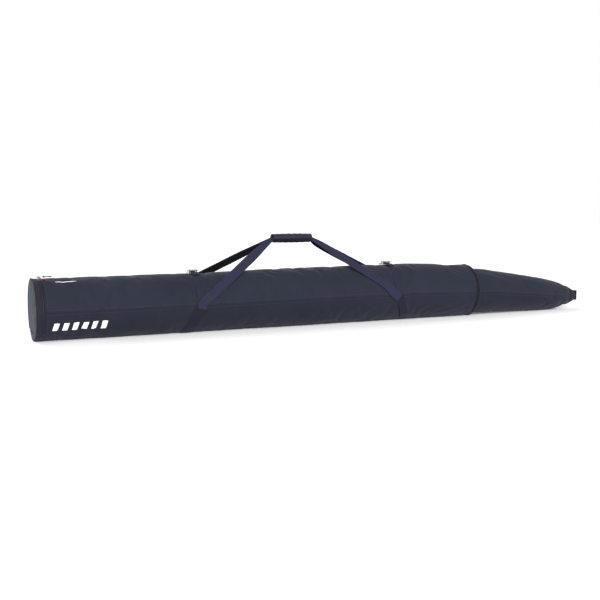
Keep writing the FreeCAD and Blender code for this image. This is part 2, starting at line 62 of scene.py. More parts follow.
MAIN_STATIONS = [
    (0.0, 0.184, 0.093), (0.2, 0.184, 0.093), (0.52, 0.186, 0.094), (0.876, 0.193, 0.0955),
    (1.271, 0.196, 0.096), (1.4, 0.192, 0.095), (1.487, 0.186, 0.0935), (1.562, 0.186, 0.093),
]
TAIL_START = 1.45
TAIL_END = 2.072
TAIL_LIFT = 0.0062
TAIL_TOUCH_RUN = 1.961
TAIL_STATIONS = [
    (1.44, 0.171, 0.082, None), (1.555, 0.171, 0.082, None), (1.63, 0.169, 0.081, None),
    (1.716, 0.156, 0.076, None), (1.861, 0.134, 0.068, None), (1.955, 0.116, 0.058, None),
    (2.011, 0.101, 0.047, 0.010), (2.045, 0.086, 0.034, 0.020), (2.072, 0.072, 0.022, 0.030),
]
LEFT_STRAP_RUN = 0.496
RIGHT_STRAP_RUN = 1.210
STRAP_WIDTH = 0.025
CARRY_WIDTH = 0.030
ANCHORS = {"left": (0.496, 0.416), "right": (1.210, 1.314)}
END_RADIUS = 0.093
END_CENTRE_Z = 0.091
CHORD_Z = 0.024
GRIP_LOW, GRIP_HIGH = 0.773, 0.914
GRIP_CENTRE_Z = 0.2928
GRIP_OVAL = 0.0015
SLEEVE_OUT = 0.0130
FLAP_OUT = 0.0162
CAMERA_PLACE = (-1.366, -2.555, 0.375)
CAMERA_DOWN = 5.9           # degrees below the horizon
CAMERA_TURN = 25            # degrees to the right of straight across the bag
EDGE_FADE = 0.012           # wrinkles die out over this much at each end of a tube
CLOTH_SPACING = 0.0062      # rings of the cloth grid
CLOTH_COLUMNS = 96          # points round each ring
CLOTH_FRAMES = 18
CLOTH_MOVE = 0.0032         # the most that the simulation may move a point
CLOTH_IN = -0.0034          # the padding's room inside the plain skin
CLOTH_OVER = 0.0004
PATCH_WIDTH = 0.034
PATCH_THICK = 0.0013
PATCH_SEWN = 0.027
PRINT_THICK = 0.00025
BAR_COUNT = 6
BAR_START, BAR_STEP = 0.045, 0.028
BAR_WIDTH, BAR_SLANT = 0.015, 0.006
BAR_TOP_Z, BAR_LOW_Z = 0.059, 0.037

scene = bpy.context.scene


# ---------------------------------------------------------------- camera, floor and light
def set_camera():
    """Seen from the front, past the wide end, a little above the bag."""
    lens = bpy.data.cameras.new("camera")
    lens.lens = 50
    lens.sensor_width = 36
    camera = bpy.data.objects.new("camera", lens)
    camera.location = CAMERA_PLACE
    camera.rotation_euler = (math.radians(90 - CAMERA_DOWN), 0, math.radians(-CAMERA_TURN))
    scene.collection.objects.link(camera)
    scene.camera = camera


def set_light():
    """A white studio: walls brighter than the ceiling, a wide soft front light and a weak rear one."""
    scene.view_settings.view_transform = "Standard"
    world = bpy.data.worlds.new("studio")
    world.use_nodes = True
    nodes, links = world.node_tree.nodes, world.node_tree.links
    direction = nodes.new("ShaderNodeTexCoord")
    parts = nodes.new("ShaderNodeSeparateXYZ")
    fade = nodes.new("ShaderNodeMapRange")
    for socket, value in (("From Min", 0.26), ("From Max", 0.75), ("To Min", 1.0), ("To Max", 0.25)):
        fade.inputs[socket].default_value = value
    links.new(direction.outputs["Generated"], parts.inputs["Vector"])
    links.new(parts.outputs["Z"], fade.inputs["Value"])
    links.new(fade.outputs["Result"], nodes["Background"].inputs["Strength"])
    nodes["Background"].inputs["Color"].default_value = (1.0, 1.0, 1.0, 1.0)
    scene.world = world
    for name, heading, power, spread in (
        ("key", (0.9, 2.6, -1.1), 5.0, 35), ("fill", (0.5, -2.0, -1.9), 1.3, 70),
    ):
        light = bpy.data.lights.new(name, "SUN")
        light.energy = power
        light.angle = math.radians(spread)
        holder = bpy.data.objects.new(name, light)
        holder.rotation_euler = Vector(heading).to_track_quat("-Z", "Y").to_euler()
        scene.collection.objects.link(holder)


def set_floor():
    mesh = bpy.data.meshes.new("floor")
    size = 14.0
    corners = [(-size, -size, 0), (size, -size, 0), (size, size, 0), (-size, size, 0)]
    mesh.from_pydata(corners, [], [(0, 1, 2, 3)])
    floor = bpy.data.objects.new("floor", mesh)
    scene.collection.objects.link(floor)
    floor.data.materials.append(floor_material())


# ---------------------------------------------------------------- node helpers
class Shader:
    """A short way to write a node material."""

    def __init__(self, name, color, rough, metal=0.0, sheen=0.0, spec=0.3):
        self.material = bpy.data.materials.new(name)
        self.material.use_nodes = True
        self.tree = self.material.node_tree
        self.shader = self.tree.nodes["Principled BSDF"]
        self.put("Base Color", (*color, 1.0))
        self.put("Roughness", rough)
        self.put("Metallic", metal)
        self.put("Specular IOR Level", spec)
        if sheen:
            self.put("Sheen Weight", sheen)
            self.put("Sheen Roughness", 0.45)
            self.put("Sheen Tint", (0.75, 0.8, 1.0, 1.0))

    def put(self, socket, value):
        self.shader.inputs[socket].default_value = value

    def node(self, kind, values=None, **settings):
        made = self.tree.nodes.new(kind)
        for key, value in settings.items():
            setattr(made, key, value)
        for key, value in (values or {}).items():
            made.inputs[key].default_value = value
        return made

    def link(self, source, target):
        self.tree.links.new(source, target)

    def coordinates(self, scale, kind="UV"):
        source = self.node("ShaderNodeTexCoord")
        mapping = self.node("ShaderNodeMapping", {"Scale": scale})
        self.link(source.outputs[kind], mapping.inputs["Vector"])
        return mapping.outputs["Vector"]

    def noise(self, scale, detail=4.0, kind="Object", stretch=(1, 1, 1)):
        made = self.node("ShaderNodeTexNoise", {"Scale": scale, "Detail": detail})
        self.link(self.coordinates(stretch, kind), made.inputs["Vector"])
        return made.outputs["Fac"]

    def mix(self, factor, first, second):
        made = self.node("ShaderNodeMix", data_type="RGBA")
        for index, value in ((6, first), (7, second)):
            if isinstance(value, tuple):
                made.inputs[index].default_value = (*value, 1.0)
            else:
                self.link(value, made.inputs[index])
        if isinstance(factor, float):
            made.inputs[0].default_value = factor
        else:
            self.link(factor, made.inputs[0])
        return made.outputs[2]

    def ramp(self, factor, low, high):
        made = self.node("ShaderNodeMapRange", {"From Min": low, "From Max": high})
        self.link(factor, made.inputs["Value"])
        return made.outputs["Result"]

    def math(self, operation, first, second=0.0):
        made = self.node("ShaderNodeMath", operation=operation)
        for index, value in ((0, first), (1, second)):
            if isinstance(value, (int, float)):
                made.inputs[index].default_value = value
            else:
                self.link(value, made.inputs[index])
        return made.outputs[0]

    def bump(self, height, strength, distance, below=None):
        made = self.node("ShaderNodeBump", {"Strength": strength, "Distance": distance})
        self.link(height, made.inputs["Height"])
        if below is not None:
            self.link(below, made.inputs["Normal"])
        return made.outputs["Normal"]

    def waves(self, direction, scale, kind="UV"):
        made = self.node("ShaderNodeTexWave", {"Scale": scale}, bands_direction=direction)
        self.link(self.coordinates((1, 1, 1), kind), made.inputs["Vector"])
        return made.outputs["Fac"]


# A wave texture repeats every 2 * pi / 20 units at scale 1.
WAVE_UNIT = math.pi / 10


def floor_material():
    made = Shader("pale_floor", (0.92, 0.92, 0.92), 0.9, spec=0.0)
    grain = made.noise(3.0, 2.0)
    made.link(made.mix(grain, (0.91, 0.91, 0.91), (0.93, 0.93, 0.93)), made.shader.inputs["Base Color"])
    return made.material


def weave_material(name, dark, light, pitch, rough=0.85, sheen=0.08, cloud=7.0, kind="UV"):
    """Plain woven cloth: two crossed thread directions, cloudy fading and a fine grain."""
    made = Shader(name, dark, rough, sheen=sheen, spec=0.14)
    scale = WAVE_UNIT / pitch
    across = made.waves("X", scale, kind)
    along = made.waves("Y", scale, kind)
    threads = made.math("MAXIMUM", across, along)
    clouds = made.ramp(made.noise(cloud, 5.0), 0.3, 0.7)
    colour = made.mix(clouds, dark, light)
    shade = tuple(channel * 0.8 for channel in dark)
    threaded = made.mix(made.math("MULTIPLY", threads, 0.35), shade, colour)
    made.link(made.mix(0.6, threaded, colour), made.shader.inputs["Base Color"])
    slubs = made.noise(900.0, 2.0)
    height = made.math("ADD", threads, made.math("MULTIPLY", slubs, 0.5))
    crumple = made.bump(made.noise(38.0, 6.0), 0.35, 0.0022)
    made.link(made.bump(height, 0.4, pitch * 0.18, crumple), made.shader.inputs["Normal"])
    roughness = made.ramp(made.noise(22.0, 3.0), -0.6, 1.4)
    made.link(made.math("ADD", made.math("MULTIPLY", roughness, 0.2), rough - 0.1),
              made.shader.inputs["Roughness"])
    return made.material


def webbing_material(name, dark, light, spec=0.16):
    """Flat webbing: fine ribs across, herringbone rows along, cloudy darker patches."""
    made = Shader(name, dark, 0.75, sheen=0.05, spec=spec)
    ribs = made.waves("X", WAVE_UNIT / 0.0016)
    rows = made.waves("Y", WAVE_UNIT / 0.0030)
    weave = made.math("MULTIPLY", ribs, rows)
    fade = made.ramp(made.noise(30.0, 4.0), 0.3, 0.75)
    colour = made.mix(made.math("MULTIPLY", weave, 0.5), dark, light)
    shade = tuple(channel * 0.72 for channel in dark)
    made.link(made.mix(made.math("MULTIPLY", fade, 0.35), colour, shade), made.shader.inputs["Base Color"])
    made.link(made.bump(weave, 0.6, 0.0005), made.shader.inputs["Normal"])
    return made.material


def metal_material(name, color, rough):
    """Plated zinc: a brushed grain, small scratches, and duller patches."""
    made = Shader(name, color, rough, metal=1.0, spec=0.5)
    grain = made.noise(500.0, 3.0, "Object", (0.12, 1, 1))
    patches = made.ramp(made.noise(120.0, 4.0), 0.35, 0.8)
    worn = tuple(channel * 0.78 for channel in color)
    made.link(made.mix(patches, color, worn), made.shader.inputs["Base Color"])
    rough_map = made.math("ADD", made.math("MULTIPLY", patches, 0.18), rough - 0.05)
    made.link(rough_map, made.shader.inputs["Roughness"])
    made.link(made.bump(grain, 0.25, 0.0001), made.shader.inputs["Normal"])
    return made.material


def plastic_material(name, color, rough, spec=0.4):
    """Moulded plastic or print: faint grain and slight mottling."""
    made = Shader(name, color, rough, spec=spec)
    grain = made.noise(700.0, 2.0)
    mottle = made.noise(60.0, 3.0)
    darker = tuple(channel * 0.86 for channel in color)
    made.link(made.mix(made.math("MULTIPLY", mottle, 0.6), color, darker), made.shader.inputs["Base Color"])
    made.link(made.bump(grain, 0.2, 0.0001), made.shader.inputs["Normal"])
    return made.material


def foam_material():
    made = Shader("foam_cells", (0.2, 0.2, 0.2), 0.95, spec=0.1)
    cells = made.node("ShaderNodeTexVoronoi", {"Scale": 420.0})
    made.link(made.coordinates((1, 1, 1), "Object"), cells.inputs["Vector"])
    made.link(made.mix(cells.outputs["Distance"], (0.16, 0.16, 0.16), (0.26, 0.26, 0.26)),
              made.shader.inputs["Base Color"])
    made.link(made.bump(cells.outputs["Distance"], 0.5, 0.0006), made.shader.inputs["Normal"])
    return made.material


def cord_material():
    """A braided cord: dark red with a black fleck running round it."""
    made = Shader("braided_cord", (0.12, 0.008, 0.014), 0.6, sheen=0.1, spec=0.35)
    one = made.node("ShaderNodeTexWave", {"Scale": WAVE_UNIT / 0.0022}, bands_direction="DIAGONAL")
    made.link(made.coordinates((1, 1, 1), "UV"), one.inputs["Vector"])
    two = made.node("ShaderNodeTexWave", {"Scale": WAVE_UNIT / 0.0022}, bands_direction="DIAGONAL")
    made.link(made.coordinates((1, -1, 1), "UV"), two.inputs["Vector"])
    braid = made.math("MULTIPLY", one.outputs["Fac"], two.outputs["Fac"])
    made.link(made.mix(made.ramp(braid, 0.05, 0.4), (0.010, 0.003, 0.004), (0.125, 0.009, 0.016)),
              made.shader.inputs["Base Color"])
    made.link(made.bump(braid, 0.7, 0.0006), made.shader.inputs["Normal"])
    return made.material


NAVY_DARK = (0.0105, 0.0128, 0.0220)
NAVY_LIGHT = (0.0145, 0.0172, 0.0285)
MATERIALS = {
    "fabric": weave_material("navy_polyester", NAVY_DARK, NAVY_LIGHT, 0.0011),
    # The belly cloth is the top cloth made darker: painted shade for the lower half of the bag.
    "belly": weave_material(
        "navy_polyester_belly_painted_shade", (0.0085, 0.0100, 0.0170), (0.0120, 0.0138, 0.0225), 0.0011,
    ),
    "end": weave_material("end_cloth", (0.0050, 0.0045, 0.0065), (0.0085, 0.0080, 0.0110), 0.0011),
    "lining": weave_material(
        "lining_cloth", (0.035, 0.035, 0.040), (0.05, 0.05, 0.055), 0.0008, kind="Object",
    ),
    "webbing": webbing_material("navy_webbing", (0.0120, 0.0125, 0.0290), (0.0240, 0.0250, 0.0530)),
    "sling": webbing_material("sling_webbing", (0.0060, 0.0062, 0.0150), (0.0130, 0.0135, 0.0300)),
    "strap": webbing_material("compression_webbing", (0.0100, 0.0110, 0.0225), (0.0185, 0.0200, 0.0370)),
    # The under material is painted shade: near-black for the inner face of the carry webbing, which lies in
    # shade.
    "under": webbing_material(
        "webbing_underside_painted_shade", (0.0030, 0.0030, 0.0050), (0.0055, 0.0055, 0.0090), 0.08,
    ),
    "binding": webbing_material("binding_tape", (0.0032, 0.0034, 0.0075), (0.0075, 0.0080, 0.0160)),
    "grip": weave_material("grip_cloth", (0.0130, 0.0135, 0.0240), (0.0220, 0.0230, 0.0370), 0.0013),
    "velcro": weave_material(
        "hook_loop", (0.012, 0.012, 0.018), (0.022, 0.022, 0.032), 0.0009, kind="Object",
    ),
    "piping": webbing_material("piping_cloth", (0.020, 0.011, 0.011), (0.042, 0.026, 0.026)),
    "zip_tape": webbing_material("zip_tape_cloth", (0.0085, 0.0095, 0.0150), (0.0160, 0.0170, 0.0260)),
    "tooth": plastic_material("zip_coil", (0.010, 0.010, 0.015), 0.5, 0.2),
    "buckle": metal_material("buckle_zinc", (0.60, 0.60, 0.62), 0.32),
    "steel": metal_material("spring_steel", (0.46, 0.46, 0.48), 0.35),
    "zip_metal": metal_material("slider_zinc", (0.16, 0.16, 0.18), 0.40),
    "print": plastic_material("white_print", (0.80, 0.81, 0.84), 0.55),
    "ferrule": plastic_material("black_ferrule", (0.012, 0.012, 0.014), 0.4),
    "thread": plastic_material("thread", (0.020, 0.022, 0.038), 0.6),
    "foam": foam_material(),
    "cord": cord_material(),
}


# ---------------------------------------------------------------- mesh helpers
def add_object(name, verts, faces, material, uvs=None, smooth=True):
    mesh = bpy.data.meshes.new(name)
    mesh.from_pydata([tuple(v) for v in verts], [], faces)
    if uvs is not None:
        layer = mesh.uv_layers.new(name="UVMap")
        loop_verts = np.zeros(len(mesh.loops), dtype=int)
        mesh.loops.foreach_get("vertex_index", loop_verts)
        layer.data.foreach_set("uv", np.asarray(uvs, float)[loop_verts].ravel())
    mesh.materials.append(MATERIALS[material])
    if smooth:
        shade_smooth(mesh)
    made = bpy.data.objects.new(name, mesh)
    scene.collection.objects.link(made)
    return made


def grid_faces(rows, columns, closed=False):
    """Quads over a rows x columns grid of vertices; closed joins the last column to the first."""
    faces = []
    last = columns if closed else columns - 1
    for i in range(rows - 1):
        for j in range(last):
            k = (j + 1) % columns
            faces.append((i * columns + j, i * columns + k, (i + 1) * columns + k, (i + 1) * columns + j))
    return faces


def closed_tube_faces(rings, size):
    """Quads round a tube of rings, with a face over each end."""
    faces = grid_faces(rings, size, True)
    faces.append(tuple(range(size)))
    faces.append(tuple(reversed(range((rings - 1) * size, rings * size))))
    return faces


def bead_faces(first, rings, size):
    """The faces of one small closed bead whose vertices start at first."""
    faces = []
    for row in range(rings - 1):
        a = first + row * size
        for m in range(size):
            n = (m + 1) % size
            faces.append((a + m, a + n, a + size + n, a + size + m))
    faces.append(tuple(first + m for m in reversed(range(size))))
    faces.append(tuple(first + (rings - 1) * size + m for m in range(size)))
    return faces


def looks_out(made, index, centre_z):
    """True when a face looks away from a line along the bag at a height."""
    face = made.data.polygons[index]
    return face.normal.dot(face.center - Vector((face.center.x, 0, centre_z))) > 0


def shade_smooth(mesh):
    mesh.polygons.foreach_set("use_smooth", [True] * len(mesh.polygons))


def paint(mesh, material):
    mesh.materials.clear()
    mesh.materials.append(MATERIALS[material])


def modify(made, kind, **settings):
    added = made.modifiers.new(kind.lower(), kind)
    for key, value in settings.items():
        setattr(added, key, value)
    return added


def bake_modifiers(made):
    """Turns the modifiers' result into the object's own mesh."""
    bpy.context.view_layer.update()
    graph = bpy.context.evaluated_depsgraph_get()
    result = bpy.data.meshes.new_from_object(made.evaluated_get(graph))
    old = made.data
    made.modifiers.clear()
    made.data = result
    bpy.data.meshes.remove(old)
    return made


def smooth_steps(value, low, high):
    share = np.clip((np.asarray(value, float) - low) / (high - low), 0, 1)
    return share * share * (3 - 2 * share)


def catmull(points, steps):
    """A smooth line through the points, with the given number of steps between each pair."""
    points = [Vector(p) for p in points]
    line = []
    for i in range(len(points) - 1):
        before = points[max(i - 1, 0)]
        a, b = points[i], points[i + 1]
        after = points[min(i + 2, len(points) - 1)]
        for k in range(steps):
            t = k / steps
            line.append(0.5 * ((2 * a) + (b - before) * t + (2 * before - 5 * a + 4 * b - after) * t * t
                               + (3 * a - before - 3 * b + after) * t ** 3))
    line.append(points[-1])
    return line


def straight_belly(run):
    return TAIL_LIFT - (run - MOUTH_RUN) * TAIL_LIFT / (TAIL_TOUCH_RUN - MOUTH_RUN)


TAIL_ROWS = [(r, t, h, straight_belly(r) if b is None else b) for r, t, h, b in TAIL_STATIONS]


def outline(stations, run, spread=0.030):
    """Each column of a station table at a run, with the corners between stations eased."""
    runs = [row[0] for row in stations]
    columns = []
    for column in range(1, len(stations[0])):
        values = [row[column] for row in stations]
        taps = [np.interp(run + spread * (k - 2) / 2, runs, values) for k in range(5)]
        columns.append(np.dot([0.1, 0.2, 0.4, 0.2, 0.1], taps))
    return columns


def main_point(run, phi, proud=0.0):
    top, half = outline(MAIN_STATIONS, run)
    centre = (top + BELLY) / 2
    y = -(half + proud) * math.sin(phi)
    z = centre + ((top - BELLY) / 2 + proud) * math.cos(phi)
    return Vector((run - LENGTH / 2, y, z))


def tail_point(run, phi, proud=0.0):
    top, half, bottom = outline(TAIL_ROWS, run, 0.020)
    centre = (top + bottom) / 2
    y = -(half + proud) * math.sin(phi)
    z = centre + ((top - bottom) / 2 + proud) * math.cos(phi)
    return Vector((run - LENGTH / 2, y, z))


# ---------------------------------------------------------------- wrinkles
def folds(run, phi, centre_run, centre_phi, angle, spacing, depth, long, wide, radius=0.095):
    """A small set of parallel folds round a place: depth fades with distance from its centre."""
    u = run - centre_run
    v = (phi - centre_phi) * radius
    along = u * math.cos(angle) + v * math.sin(angle)
    across = -u * math.sin(angle) + v * math.cos(angle)
    fade = np.exp(-(along / long) ** 2 - (across / wide) ** 2)
    return depth * fade * np.cos(2 * math.pi * across / spacing)


def puckers(run, phi, centre_run, centre_phi, count, depth, reach, phase=0.0, radius=0.095):
    """Folds that radiate from a stitched point."""
    u = run - centre_run
    v = (phi - centre_phi) * radius
    distance = np.hypot(u, v)
    turn = np.arctan2(v, u)
    fade = np.exp(-distance / reach) * smooth_steps(distance, 0.004, 0.022)
    return depth * fade * np.cos(count * turn + phase + distance * 25.0)


# Run, phi, slant, spacing, depth, and how far the folds reach along and across themselves.
MAIN_FOLDS = [
    (1.487, 0.45, 0.55, 0.021, 0.0028, 0.045, 0.035),
    (1.500, -0.5, -0.6, 0.024, 0.0024, 0.045, 0.035),
    (1.440, 1.9, -0.35, 0.034, 0.0022, 0.07, 0.045),
    (1.120, 1.05, 0.25, 0.040, 0.0020, 0.09, 0.035),
    (0.620, 1.15, -0.35, 0.045, 0.0018, 0.10, 0.035),
    (0.880, 1.9, 0.12, 0.050, 0.0018, 0.20, 0.035),
    (0.300, 1.85, 0.18, 0.046, 0.0018, 0.14, 0.035),
    (0.360, -1.7, 0.2, 0.046, 0.0020, 0.16, 0.035),
    (0.960, -1.2, -0.2, 0.046, 0.0020, 0.18, 0.035),
]


def main_wrinkles(run, phi):
    """How far the stuffed main section stands out from its plain shape, in metres."""
    lift = 0.0
    for side in (1.0, -1.0):
        seam = side * math.pi / 2
        along = 0.7 + 0.3 * np.sin(run * 9.0 + side)
        lift = lift - 0.0012 * along * np.exp(-((phi - seam) * 0.095 / 0.0080) ** 2)
        lift = lift + puckers(run, phi, LEFT_STRAP_RUN, side * 1.5, 9, 0.0022, 0.030, 0.7)
        lift = lift + puckers(run, phi, RIGHT_STRAP_RUN, side * 1.5, 9, 0.0034, 0.045, 1.9)
    for row in MAIN_FOLDS:
        lift = lift + folds(run, phi, *row)
    for strap in (LEFT_STRAP_RUN, RIGHT_STRAP_RUN):
        off = np.abs(run - strap)
        cinch = np.exp(-(off / 0.016) ** 4)
        upper = smooth_steps(np.cos(phi), -0.05, 0.15)
        lift = lift - 0.0022 * cinch * upper
        gather = np.exp(-((off - 0.021) / 0.014) ** 2) * upper
        lift = lift + gather * 0.0011 * np.cos(phi * 17 + strap * 9)
    near_zip = np.exp(-(run - SHELL_START) / 0.022)
    lift = lift + 0.0007 * near_zip * np.cos(phi * 26)
    near_mouth = np.exp(-(MOUTH_RUN - run) / 0.020)
    lift = lift + 0.0010 * near_mouth * np.cos(phi * 19 + 1.0)
    return lift


def tail_wrinkles(run, phi):
    """The tail is thinner cloth: long soft folds that run into its gathered tip."""
    tip = smooth_steps(run, 1.75, 2.06)
    mouth = np.exp(-np.abs(run - 1.575) / 0.05)
    lift = 0.0008 * mouth * np.cos(phi * 7 + 0.6) + 0.0003 * mouth * np.cos(phi * 17)
    lift = lift + 0.0009 * tip * np.cos(phi * 7 + run * 6.0)
    for side in (1.0, -1.0):
        lift = lift - 0.0016 * np.exp(-((phi - side * 1.55) * 0.07 / 0.006) ** 2)
        lift = lift + folds(run, phi, 1.66, side * 0.9, 0.2, 0.044, 0.0012, 0.09, 0.04, 0.075)
        lift = lift + folds(run, phi, 1.84, side * 1.3, -0.12, 0.036, 0.0009, 0.12, 0.03, 0.068)
    return lift


def noise_lift(point, size, depth):
    return depth * noise.noise(Vector((point.x * 0.45, point.y, point.z)) / size)


# ---------------------------------------------------------------- stuffed shells
def shell_grid(point_at, wrinkles, runs, phis, limit):
    """A tube of points round the bag with its wrinkles, flattened where it lies on the floor."""
    run_grid, phi_grid = np.meshgrid(runs, phis, indexing="ij")
    lift = wrinkles(run_grid, phi_grid)
    held = smooth_steps(runs, runs[0], runs[0] + EDGE_FADE)
    held = held * smooth_steps(-runs, -runs[-1], -runs[-1] + EDGE_FADE)
    points = np.zeros((len(runs), len(phis), 3))
    for i, run in enumerate(runs):
        for j, phi in enumerate(phis):
            plain = point_at(run, phi)
            rough = noise_lift(plain, 0.070, 0.0014) + noise_lift(plain, 0.022, 0.0004)
            points[i, j] = point_at(run, phi, min(lift[i, j] + rough, limit) * held[i])
    return points


def stuffed(name, points, pins, pressure, spare, cap):
    """Blows a tube of cloth up between its held rings and lets spare cloth buckle into creases."""
    rows, columns = points.shape[:2]
    made = add_object(name, points.reshape(-1, 3), grid_faces(rows, columns, True), "fabric")
    group = made.vertex_groups.new(name="held")
    for i in range(rows):
        ring = [i * columns + j for j in range(columns)]
        group.add(ring, float(pins[i]), "REPLACE")
    cloth = modify(made, "CLOTH").settings
    cloth.quality = 4
    cloth.mass = 0.25
    cloth.tension_stiffness = 22
    cloth.compression_stiffness = 10
    cloth.shear_stiffness = 6
    cloth.bending_stiffness = 0.9
    cloth.vertex_group_mass = "held"
    cloth.pin_stiffness = 1.0
    cloth.shrink_min = -spare
    cloth.use_pressure = True
    cloth.uniform_pressure_force = pressure
    cloth.effector_weights.gravity = 0
    for frame_number in range(1, CLOTH_FRAMES + 1):
        scene.frame_set(frame_number)
    graph = bpy.context.evaluated_depsgraph_get()
    result = made.evaluated_get(graph).to_mesh()
    blown = np.zeros(len(result.vertices) * 3)
    result.vertices.foreach_get("co", blown)
    blown = blown.reshape(rows, columns, 3)
    scene.frame_set(1)
    bpy.data.objects.remove(made)
    move = blown - points
    size = np.linalg.norm(move, axis=2, keepdims=True)
    return points + move * np.minimum(1, cap / np.maximum(size, 1e-9))


def settle(points, point_at, runs, phis, lowest, highest):
    """Keeps the cloth above the floor and inside the space that the padding leaves it."""
    for i, run in enumerate(runs):
        for j, phi in enumerate(phis):
            centre = point_at(run, phi, -0.05)
            here = Vector(points[i, j]) - centre
            reach = min(max(here.length, (point_at(run, phi, lowest) - centre).length),
                        (point_at(run, phi, highest) - centre).length)
            points[i, j] = centre + here * (reach / here.length)
    points[:, :, 2] = np.where(points[:, :, 2] < 0.0006, 0.0006 + 0.04 * points[:, :, 2], points[:, :, 2])
    return np.maximum(points, [-10, -10, 0.0002])


def panel(name, points, runs, phis, low, high, material, body, node, radius, thick=0.0012):
    """One sewn panel of a tube, between two angles, with UVs in metres and a cloth's thickness."""
    picked = [j for j, phi in enumerate(phis) if low - 1e-6 <= phi <= high + 1e-6]
    part = points[:, picked]
    uvs = [(run, phis[j] * radius) for run in runs for j in picked]
    faces = grid_faces(len(runs), len(picked))
    made = add_object(name, part.reshape(-1, 3), faces, material, uvs)
    modify(made, "SUBSURF", levels=1, render_levels=1)
    outward = looks_out(made, len(made.data.polygons) // 2, END_CENTRE_Z * 0.9)
    modify(made, "SOLIDIFY", thickness=thick, offset=-1.0 if outward else 1.0)
    bake_modifiers(made)
    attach(made, body)
    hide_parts(node)


def make_shells():
    """The main section and the tail, each simulated whole and then cut along its side seams."""
    phis = np.array([-math.pi / 2 + 2 * math.pi * j / CLOTH_COLUMNS for j in range(CLOTH_COLUMNS)])
    shells = {}
    for name, point_at, wrinkles, start, end, pressure, spare, limit, radius in (
        ("main", main_point, main_wrinkles, SHELL_START, MOUTH_RUN, 1.5, 0.010, 0.0030, 0.095),
        ("tail", tail_point, tail_wrinkles, TAIL_START, TAIL_END, 0.4, 0.003, 0.0012, 0.075),
    ):
        runs = np.linspace(start, end, int((end - start) / CLOTH_SPACING) + 1)
        points = shell_grid(point_at, wrinkles, runs, phis, limit)
        pins = np.full(len(runs), 0.10)
        inner_runs = [LEFT_STRAP_RUN, RIGHT_STRAP_RUN] if name == "main" else [MOUTH_RUN]
        held_runs = [start, end] + inner_runs
        for held in held_runs:
            pins = np.maximum(pins, np.exp(-((runs - held) / 0.010) ** 2))
        points = stuffed(name + "_blown", points, pins, pressure, spare, CLOTH_MOVE)
        points = settle(points, point_at, runs, phis, CLOTH_IN, limit + CLOTH_OVER)
        closed = np.concatenate([points, points[:, :1]], axis=1)
        closed_phis = np.append(phis, phis[0] + 2 * math.pi)
        shells[name] = (closed, runs, closed_phis, radius)
    return shells


set_camera()
set_light()
set_floor()
shells = make_shells()


def panels():
    for name, nodes, materials, body in (
        ("main", ("upper_panel", "lower_panel"), ("fabric", "belly"), "bag"),
        ("tail", ("tail_upper_panel", "tail_lower_panel"), ("fabric", "belly"), "tail"),
    ):
        points, runs, phis, radius = shells[name]
        front, back = math.pi / 2, 3 * math.pi / 2
        panel(name + "_top_cloth", points, runs, phis, -front, front, materials[0], body, nodes[0], radius)
        # The belly panel's darker material is painted shade.
        panel(name + "_belly_cloth", points, runs, phis, front, back, materials[1], body, nodes[1], radius)


panels()


def surface_tree(name):
    """The outside of a shell as a tree for rays, before it is thickened."""
    points, runs, phis, radius = shells[name]
    verts = [Vector(p) for p in points.reshape(-1, 3)]
    return BVHTree.FromPolygons(verts, grid_faces(len(runs), len(phis)))


TREES = {"main": surface_tree("main"), "tail": surface_tree("tail")}


def on_surface(name, run, phi, proud):
    """A point on the wrinkled cloth, and the smooth outward direction there."""
    point_at = main_point if name == "main" else tail_point
    inside = point_at(run, phi, -0.03)
    out = (point_at(run, phi, 0.01) - point_at(run, phi, -0.01)).normalized()
    hit = TREES[name].ray_cast(inside, out, 0.08)[0]
    place = hit if hit is not None else point_at(run, phi)
    place = place + out * proud
    place.z = max(place.z, 0.0003)
    return place, out


def laid(name, spots, proud):
    """A line on the wrinkled cloth through (run, phi) spots, and the outward direction at each."""
    found = [on_surface(name, run, phi, proud) for run, phi in spots]
    return [place for place, out in found], [out for place, out in found]


# ---------------------------------------------------------------- straps and threads
STRAP_SECTION = [
    (-0.50, 0.0), (-0.50, 0.65), (-0.47, 1.0), (-0.40, 1.08), (-0.2, 0.98), (0.0, 0.96),
    (0.2, 0.98), (0.40, 1.08), (0.47, 1.0), (0.50, 0.65), (0.50, 0.0), (0.0, 0.0),
]


def sweep(name, centres, outs, widths, thickness, material, under=None):
    """A flat strap: centres on its underside, outs away from what it lies on."""
    centres = [Vector(c) for c in centres]
    count = len(centres)
    widths = widths if hasattr(widths, "__len__") else [widths] * count
    verts, uvs = [], []
    distance = 0.0
    for i, centre in enumerate(centres):
        along = (centres[min(i + 1, count - 1)] - centres[max(i - 1, 0)]).normalized()
        across = Vector(outs[i]).cross(along).normalized()
        up = along.cross(across).normalized()
        if i:
            distance += (centre - centres[i - 1]).length
        for side, height in STRAP_SECTION:
            verts.append(centre + across * side * widths[i] + up * height * thickness)
            uvs.append((distance, side * widths[i]))
    ring_size = len(STRAP_SECTION)
    made = add_object(name, verts, closed_tube_faces(count, ring_size), material, uvs)
    # The two flat faces on each ring's underside take the under material, which is painted shade.
    if under:
        made.data.materials.append(MATERIALS[under])
        for index in range((count - 1) * ring_size):
            made.data.polygons[index].material_index = int(index % ring_size >= ring_size - 2)
    fix_normals(made)
    return made


def fix_normals(made):
    edit = bmesh.new()
    edit.from_mesh(made.data)
    bmesh.ops.recalc_face_normals(edit, faces=edit.faces)
    edit.to_mesh(made.data)
    edit.free()


